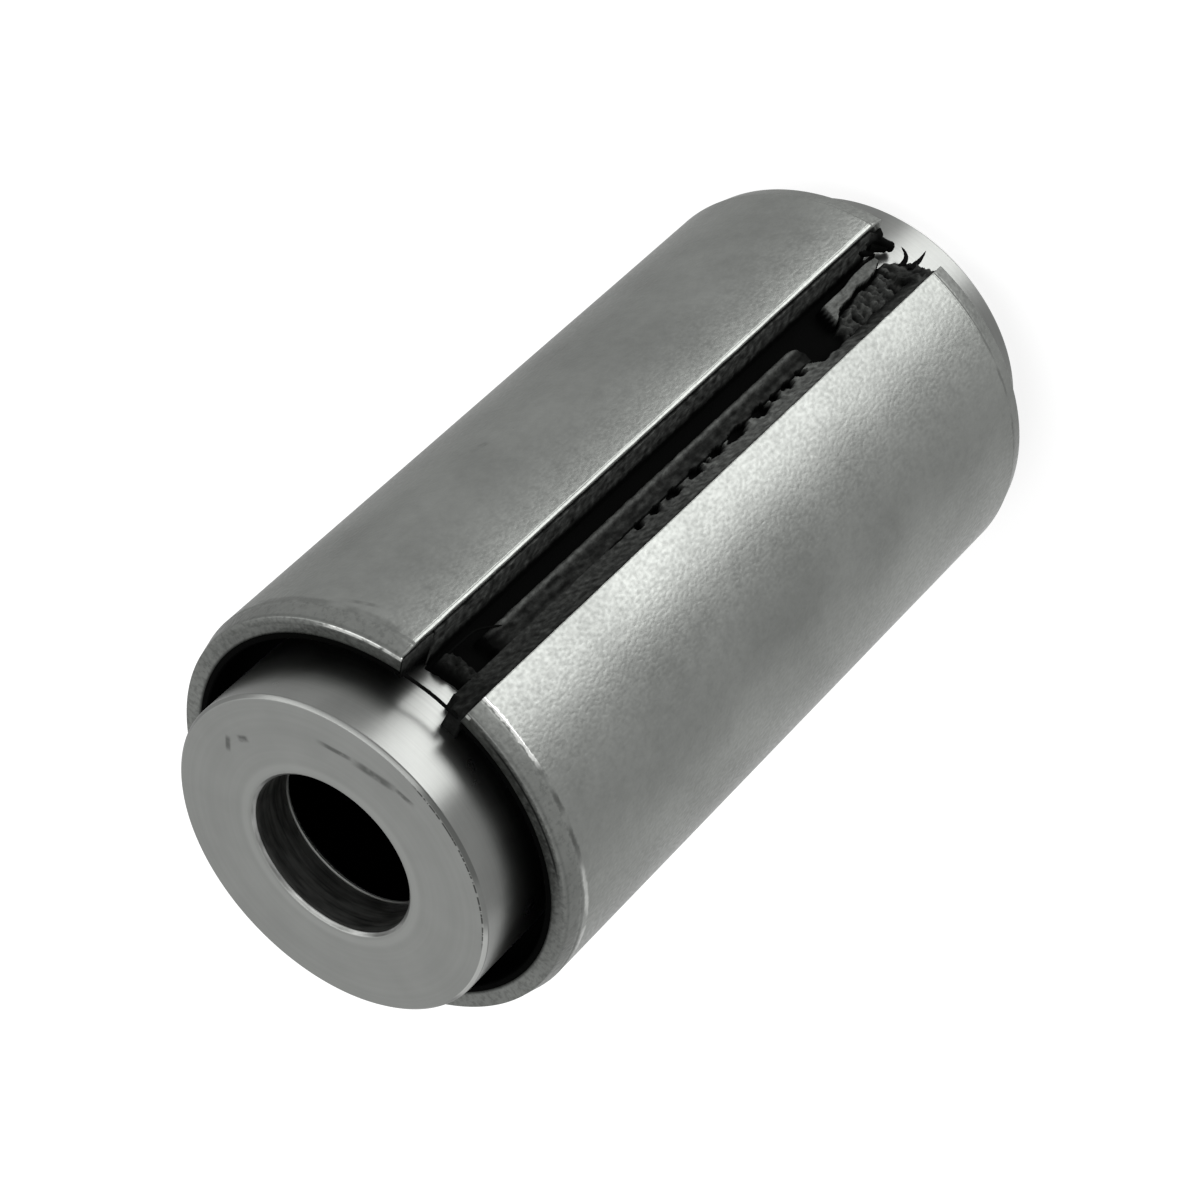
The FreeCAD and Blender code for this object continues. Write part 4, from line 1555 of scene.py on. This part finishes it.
@dataclass
class Rubber:
    """Moulded rubber: the bonded ring, and the channel in the slot with its land, dams, flash and torn ends."""

    groove_steps: int = 10
    ring_segments: int = 340
    ring_crease: float = 40.0
    channel_crease: float = 50.0
    stations: int = 84
    film_steps: int = 11
    floor_steps: int = 8
    pitch: float = 0.2
    overrun: float = 2.4
    inside_start: Fall = (5.9, 6.3)
    inside_finish: Fall = (105.6, 106.0)
    wall_contact: float = 26.0
    back_radii: tuple[float, float] = (27.0, 25.3)
    upper_film_start: float = 0.15
    upper_film_overlap: float = 0.1
    lower_film_start: float = 105.2
    lower_film_overlap: float = 0.45
    land: Land = field(default_factory=Land)
    upper_dam: UpperDam = field(default_factory=UpperDam)
    lower_dam: LowerDam = field(default_factory=LowerDam)
    flash: Flash = field(default_factory=Flash)
    torn_end: TornEnd = field(default_factory=TornEnd)
    film: WallFilm = field(default_factory=WallFilm)
    finish: MouldedRubber = field(default_factory=MouldedRubber)

    def ring_outline(self) -> Profile:
        """Half section of the bonded ring, with a lip and a round groove at each end.

        Returns:
            Radius and height of each point, in order round the section.
        """
        outer, inner, top = SIZES.sleeve_bore, SIZES.tube_radius, SIZES.sleeve_top
        lip = outer - SIZES.lip_thickness
        groove = lip - inner
        upper: Profile = [(outer, top - 0.05), (lip + 0.15, top - 0.05), (lip, top - 0.2)]
        middle = top - SIZES.end_recess + groove
        for step in range(self.groove_steps + 1):
            turn = math.pi / 2 * step / self.groove_steps
            upper.append((inner + groove * math.cos(turn), middle - groove * math.sin(turn)))
        return upper + [(across, SIZES.tube_length - up) for across, up in reversed(upper)]

    def ring(self, material: bpy.types.Material) -> bpy.types.Object:
        """Turn the ring over all but the slot.

        Args:
            material: The rubber's finish.

        Returns:
            The ring.
        """
        half = SIZES.slot_half_angle
        lathe = Lathe(material, self.ring_segments, -math.pi / 2 + half, 2 * math.pi - 2 * half)
        piece = lathe.turn("bonded_ring", self.ring_outline())
        shade(piece, self.ring_crease)
        return piece

    def surface(self, across: float, depth: float) -> Skin:
        """Surface of the channel, which is the highest of its parts.

        Args:
            across: Place across the slot.
            depth: Depth below the sleeve's end.

        Returns:
            Radius and dust.
        """
        rough = 0.16 * wobble(across / 0.9, depth / 1.4, 0.0) + 0.07 * wobble(across / 0.3, depth / 0.4, 4.0)
        lump = 0.42 * wobble(across / 1.2, depth / 1.1, 8.0) + 0.15 * wobble(across / 0.45, depth / 0.5, 3.0)
        slanted = depth + self.upper_dam.front_slant * across - self.upper_dam.front_wave(across)
        begun = smooth_step(self.upper_dam.front - 0.4, self.upper_dam.front, slanted)
        radius, dust = highest([
            self.land.surface(across, depth, rough),
            self.upper_dam.surface(across, depth, lump),
            *self.lower_dam.surfaces(across, depth, rough, lump),
        ])
        whole = highest([
            (CHANNEL.bare + (radius - CHANNEL.bare) * begun, dust),
            self.flash.surface(across, depth),
            self.torn_end.surface(across, depth),
        ])
        radius, dust = self.flash.tear_open(across, depth, whole)
        return CHANNEL.bare + (radius - CHANNEL.bare) * self.torn_end.left_share(across, depth), dust

    def wall_section(self, depth: float, inside: float, top: float, foot: float) -> Section:
        """Section of the film on the +X wall within the channel.

        Args:
            depth: Depth below the sleeve's end.
            inside: Share of the film's full thickness there.
            top: Radius of the film's upper edge.
            foot: Radius where it meets the floor.

        Returns:
            Place across, radius and dust of each point.
        """
        section = []
        upper, fall = top - 0.02 - 0.06 * inside, top - foot - 0.02 - 0.06 * inside
        for step in range(self.film_steps + 1):
            share = step / self.film_steps
            radius = upper - fall * share
            lump = 0.12 * wobble(depth, radius / 0.9, 3.0) + 0.05 * wobble(depth / 0.4, radius / 0.4, 3.0)
            dust = 0.34 + 0.25 * wobble(depth / 1.1, radius / 0.8, 6.0)
            across = wall_place(radius) - self.film.thickness * (0.3 + 0.7 * inside) - lump * inside
            section.append((across, radius, dust * (1.0 - smooth_step(0.6, 1.0, share))))
        return section

    def section(self, depth: float) -> Section:
        """Section of the slot's rubber: down the +X wall, across the channel and back under it.

        Args:
            depth: Depth below the sleeve's end.

        Returns:
            Place across, radius and dust of each point.
        """
        bare = CHANNEL.bare
        inside = smooth_step(*self.inside_start, depth) * (1.0 - smooth_step(*self.inside_finish, depth))
        top = self.film.top + 0.1 * wobble(depth / 0.9, 1.0, 5.0) + 0.07 * wobble(depth / 0.35, 1.0, 2.0)
        top = bare + (top - bare) * inside
        foot = bare - 0.1 + (CHANNEL.floor + 0.4 - bare) * inside
        section = [(wall_place(top) + HIDDEN, top, 0.0), *self.wall_section(depth, inside, top, foot)]
        first, last = wall_place(foot) - self.film.thickness - 0.2, CHANNEL.minus_side
        for step in range(self.stations + 1):
            across = first + (last - first) * step / self.stations
            radius, dust = self.surface(across, depth)
            if across < 0.0 and radius > self.wall_contact:
                limit = max(abs(across) - 0.03, 0.0) / math.sin(SIZES.slot_half_angle)
                radius = max(radius, min(limit, CHANNEL.flash_top))
            section.append((across, radius, dust))
        lowest, torn = bare - 0.2, self.torn_end
        covered = smooth_step(torn.front_start, torn.front_start + 0.2, depth)
        covered *= 1.0 - smooth_step(torn.edge[0][1] - 0.6, torn.edge[0][1] - 0.4, depth)
        for radius in (*(lowest + (back - lowest) * covered for back in self.back_radii), lowest):
            section.append((-wall_place(radius) - HIDDEN, radius, 0.0))
        for step in range(1, self.floor_steps):
            turn = SIZES.slot_half_angle * (-1.0 + 2.0 * step / self.floor_steps)
            section.append((lowest * math.sin(turn), lowest, 0.0))
        section.append((wall_place(lowest) + HIDDEN, lowest, 0.0))
        return section

    def channel(self, material: bpy.types.Material) -> bpy.types.Object:
        """Make the rubber in the slot, from its flash at the upper end to its torn lower end.

        Args:
            material: The rubber's finish.

        Returns:
            The piece.
        """
        first, last = self.pitch, SIZES.sleeve_length + self.overrun
        rows = int((last - first) / self.pitch) + 1
        depths = [first + (last - first) * row / (rows - 1) for row in range(rows)]
        return self.sweep("slot_rubber", [(depths, [self.section(depth) for depth in depths])], material)

    def wall_films(self, material: bpy.types.Material) -> bpy.types.Object:
        """Make the films on the slot's +X wall beyond both ends of the channel.

        Args:
            material: The rubber's finish.

        Returns:
            The piece, which has a part at each end.
        """
        runs = []
        for start, finish in ((self.upper_film_start, SIZES.end_recess + self.upper_film_overlap),
                              (self.lower_film_start, SIZES.sleeve_length + self.lower_film_overlap)):
            rows = int((finish - start) / self.pitch) + 1
            depths = [start + (finish - start) * row / (rows - 1) for row in range(rows)]
            fades = [min(1.0, min(depth, finish - depth) / self.film.fade_length) for depth in depths]
            runs.append((depths, [self.film.section(depth, fade) for depth, fade in zip(depths, fades)]))
        return self.sweep("wall_film", runs, material)

    def sweep(self, name: str, runs: Sequence[tuple[list[float], list[Section]]],
              material: bpy.types.Material) -> bpy.types.Object:
        """Join sections along the slot into closed bodies of one piece, and dress it.

        Args:
            name: Name of the piece.
            runs: Depths and sections of each body.
            material: The rubber's finish.

        Returns:
            The piece, with its dust, its outward faces, its shading and its material.
        """
        points: list[Point] = []
        faces: list[list[int]] = []
        dust: list[float] = []
        for depths, sections in runs:
            base, ring = len(points), len(sections[0])
            for depth, section in zip(depths, sections):
                points += [channel_point(across, radius, depth) for across, radius, _ in section]
                dust += [max(share, 0.0) for _, _, share in section]
            faces += [[base + corner for corner in face] for face in swept_faces(len(depths), ring, closed=False)]
        piece = mesh_object(name, points, faces)
        dust_map(piece, dust)
        turn_faces_out(piece)
        shade(piece, self.channel_crease)
        piece.data.materials.append(material)
        return piece

    def build(self) -> list[bpy.types.Object]:
        """Make the rubber's pieces; the ring stands for the CAD node.

        Returns:
            The ring, the channel and the films.
        """
        material = self.finish.material()
        ring = self.ring(material)
        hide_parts("rubber_body")
        pieces = [ring, self.channel(material), self.wall_films(material)]
        return pieces


@dataclass(frozen=True)
class Strand:
    """A thread of rubber by its course and thickness, in millimetres.

    Each point is a place across the slot, a radius and a depth below the sleeve's upper end.
    """

    thickness: float
    tip: float
    course: tuple[Point, ...]

    def radius_at(self, share: float) -> float:
        """Radius at a share of the length: it goes from the thickness to the tip's share of it, and rounds off."""
        over = max(share - 0.85, 0.0) / 0.15
        return self.thickness * (1.0 + (self.tip - 1.0) * share**1.5) * math.sqrt(1.0 - 0.95 * over * over)


@dataclass
class TornThreads:
    """Threads, hooks and webs of rubber that the mould and the press left, drawn as tapering round strands."""

    sides: int = 10
    step: float = 0.12
    roughness: float = 0.05
    grain: float = 0.5
    seed: float = 4.0
    dust: float = 0.05
    crease: float = 60.0
    finish: MouldedRubber = field(default_factory=MouldedRubber)
    strands: tuple[Strand, ...] = (
        Strand(0.24, 1.0, ((4.4, 26.9, 0.15), (2.6, 26.85, 0.2), (0.4, 26.8, 0.3), (-2.0, 26.85, 0.25),
                           (-4.4, 26.95, 0.1))),
        Strand(0.2, 0.6, ((2.6, 25.6, 7.6), (2.5, 25.9, 10.0), (2.3, 26.0, 12.6), (1.2, 26.1, 14.6),
                          (0.5, 26.0, 15.8))),
        Strand(0.6, 1.4, ((4.6, 27.0, 107.2), (4.1, 26.4, 108.4), (3.35, 25.4, 109.4), (2.75, 24.8, 110.1),
                          (2.3, 24.5, 110.6))),
        Strand(0.9, 0.85, ((4.75, 26.2, 106.4), (4.2, 25.3, 107.9), (3.5, 24.9, 109.0), (2.8, 24.6, 109.8))),
        Strand(0.6, 0.9, ((4.95, 27.0, 103.6), (4.45, 25.8, 105.2), (4.1, 25.0, 106.5), (3.8, 24.7, 107.8))),
        Strand(0.42, 0.15, ((-0.6, 25.0, 107.6), (-0.4, 25.2, 109.4), (0.3, 25.2, 110.4), (1.4, 25.0, 111.2))),
        Strand(0.5, 0.12, ((-2.2, 26.4, 107.2), (-2.0, 26.2, 108.8), (-1.9, 25.9, 110.6), (-1.5, 25.6, 112.9))),
    )

    def tree(self, material: bpy.types.Material) -> GeometryCanvas:
        """Geometry Nodes that thicken each guide line into a strand, by the line's own radius.

        Args:
            material: The rubber's finish.

        Returns:
            The tree.
        """
        canvas = GeometryCanvas("strands", [
            ("Sides", "NodeSocketInt", self.sides),
            ("Step", "NodeSocketFloat", self.step * MM),
            ("Roughness", "NodeSocketFloat", self.roughness * MM),
            ("Seed", "NodeSocketFloat", self.seed),
            ("Finish", "NodeSocketMaterial", material),
        ])
        fine = canvas.node("GeometryNodeResampleCurve", {"mode": "LENGTH"},
                           {"Curve": canvas.entry, "Length": canvas.input("Step")})
        ring = canvas.node("GeometryNodeCurvePrimitiveCircle", {"mode": "RADIUS"},
                           {"Resolution": canvas.input("Sides"), "Radius": 1.0 * MM})
        size = canvas.node("GeometryNodeInputRadius")
        tube = canvas.node("GeometryNodeCurveToMesh", inputs={"Curve": fine, "Profile Curve": ring, "Scale": size,
                                                              "Fill Caps": True})
        place = canvas.node("GeometryNodeInputPosition")
        noisy = canvas.node("ShaderNodeTexNoise", {"noise_dimensions": "4D"},
                            {"Vector": place, "W": canvas.input("Seed"), "Scale": 1.0 / (self.grain * MM),
                             "Detail": 2.0}, output="Fac")
        normal = canvas.node("GeometryNodeInputNormal")
        push = canvas.node("ShaderNodeVectorMath", {"operation": "SCALE"},
                           {"Vector": normal, "Scale": (noisy - 0.5) * canvas.input("Roughness") * 2.0})
        rough = canvas.node("GeometryNodeSetPosition", inputs={"Geometry": tube, "Offset": push})
        canvas.close(rough, canvas.input("Finish"))
        return canvas

    def build(self) -> list[bpy.types.Object]:
        """Make every strand in one mesh.

        Returns:
            The one piece.
        """
        lines, radii = [], []
        for strand in self.strands:
            course = self.smooth(strand.course)
            last = len(course) - 1
            lines.append([channel_point(*point) for point in course])
            radii.append([strand.radius_at(index / last) for index in range(last + 1)])
        guides = curve_object("strand_guides", lines, radii)
        piece = self.tree(self.finish.material()).apply(guides, "torn_threads")
        turn_faces_out(piece)
        shade(piece, self.crease)
        dust_map(piece, [self.dust] * len(piece.data.vertices))
        return [piece]

    @staticmethod
    def smooth(course: Sequence[Point], steps: int = 8) -> list[Point]:
        """Points along a smooth line through a course's own points.

        Args:
            course: The points that the line passes.
            steps: Number of points from each of them to the next.

        Returns:
            The line's points.
        """
        vectors = [Vector(point) for point in course]
        ends = [vectors[0] * 2 - vectors[1], *vectors, vectors[-1] * 2 - vectors[-2]]
        line = []
        for index in range(1, len(ends) - 2):
            before, here, after, beyond = ends[index - 1:index + 3]
            for step in range(steps):
                share = step / steps
                place = 0.5 * (2 * here + (after - before) * share
                               + (2 * before - 5 * here + 4 * after - beyond) * share**2
                               + (3 * here - before - 3 * after + beyond) * share**3)
                line.append(tuple(place))
        return [*line, tuple(vectors[-1])]


@dataclass(frozen=True)
class Lamp:
    """A soft flat lamp by where it lies from the bushing's middle, its size in metres and its radiance."""

    name: str
    direction: Point
    distance: float
    width: float
    height: float
    radiance: float
    across: Point = (1.0, 0.0, 0.0)
    shape: str = "RECTANGLE"

    def build(self, middle: Vector) -> None:
        """Hang the lamp so that it faces the bushing, its width as near as can be along the given direction.

        Args:
            middle: The bushing's middle, in metres.
        """
        towards = Vector(self.direction).normalized()
        light = bpy.data.lights.new(self.name, "AREA")
        light.shape = self.shape
        light.size, light.size_y = self.width, self.height
        area = self.width * self.height * (math.pi / 4 if self.shape == "ELLIPSE" else 1.0)
        light.energy = self.radiance * math.pi * area
        lamp = bpy.data.objects.new(self.name, light)
        upright = towards.cross(Vector(self.across)).normalized()
        across = upright.cross(towards)
        turned = Matrix((across, upright, towards)).transposed().to_4x4()
        lamp.matrix_world = Matrix.Translation(middle + towards * self.distance) @ turned
        lamp.visible_camera = False
        bpy.context.scene.collection.objects.link(lamp)


@dataclass
class Studio:
    """Camera, lamps, world and floor. The camera is rolled as the photograph is, with its up along `up`."""

    place: Point = (-0.089599, -0.417636, 0.411513)
    right: Point = (-0.768467, -0.300350, -0.565021)
    up: Point = (0.618686, -0.574169, -0.536243)
    lens: float = 125.262
    sensor: float = 36.0
    floor_size: float = 3.0
    floor_gap: float = 0.05
    world_fill: float = 0.75
    lamps: tuple[Lamp, ...] = (
        Lamp("key_lamp", (-0.054, -0.786, -0.616), 0.9, 0.88, 0.60, 5.3, (0.962, 0.125, -0.243), "ELLIPSE"),
        Lamp("edge_lamp", (0.45, -0.325, 0.83), 0.9, 1.60, 0.26, 3.0, (0.845, 0.46, -0.276)),
        Lamp("side_lamp", (-0.469, 0.622, -0.627), 1.0, 0.95, 0.60, 0.70, (0.799, 0.602, 0.0)),
        Lamp("fill_lamp", (0.767, 0.135, -0.627), 1.0, 1.60, 0.70, 0.15, (-0.17, 0.98, 0.0)),
    )

    def camera(self) -> None:
        """Set the camera at the photograph's viewing angle."""
        lens = bpy.data.cameras.new("camera")
        lens.lens, lens.sensor_width = self.lens, self.sensor
        lens.clip_start, lens.clip_end = 0.01, 20.0
        camera = bpy.data.objects.new("camera", lens)
        right = Vector(self.right).normalized()
        up = Vector(self.up)
        up = (up - right * up.dot(right)).normalized()
        turned = Matrix((right, up, right.cross(up))).transposed().to_4x4()
        camera.matrix_world = Matrix.Translation(Vector(self.place)) @ turned
        bpy.context.scene.collection.objects.link(camera)
        bpy.context.scene.camera = camera

    def world(self) -> None:
        """White for the eye and in reflections, and a plain even fill for everything else."""
        world = bpy.data.worlds.new("studio_world")
        world.use_nodes = True
        world.node_tree.nodes.clear()
        canvas = NodeCanvas(world.node_tree)
        path = canvas.node("ShaderNodeLightPath", output="Is Camera Ray")
        seen = path.most(path.other("Is Glossy Ray")).most(path.other("Is Transmission Ray"))
        strength = self.world_fill + seen * (1.0 - self.world_fill)
        glow = canvas.node("ShaderNodeBackground", inputs={"Color": (1.0, 1.0, 1.0, 1.0), "Strength": strength})
        canvas.node("ShaderNodeOutputWorld", inputs={"Surface": glow})
        bpy.context.scene.world = world

    def floor(self) -> None:
        """Lay the floor that the bushing stands on. Light passes it, as it would a sheet of glass."""
        half = self.floor_size / 2 / MM
        level = -self.floor_gap
        corners = [(-half, -half, level), (half, -half, level), (half, half, level), (-half, half, level)]
        floor = mesh_object("floor", corners, [(0, 1, 2, 3)])
        floor.data.materials.append(PaleFloor().material())
        for kind in ("visible_diffuse", "visible_glossy", "visible_transmission", "visible_shadow"):
            setattr(floor, kind, False)

    def build(self) -> None:
        """Set up the whole studio."""
        bpy.context.scene.view_settings.view_transform = "Standard"
        middle = Vector((0.0, 0.0, SIZES.tube_length / 2 * MM))
        for lamp in self.lamps:
            lamp.build(middle)
        self.camera()
        self.world()
        self.floor()


def main() -> None:
    """Build the bushing's pieces, let each ride on the frame, and set up the studio."""
    logging.basicConfig(level=logging.INFO, format="%(message)s")
    for assembly in (Tube(), Sleeve(), Rubber(), TornThreads()):
        for piece in assembly.build():
            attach(piece, ROOT)
            triangles = sum(len(face.vertices) - 2 for face in piece.data.polygons)
            LOG.info("%s: %d triangles", piece.name, triangles)
    Studio().build()


if __name__ == "__main__":
    main()
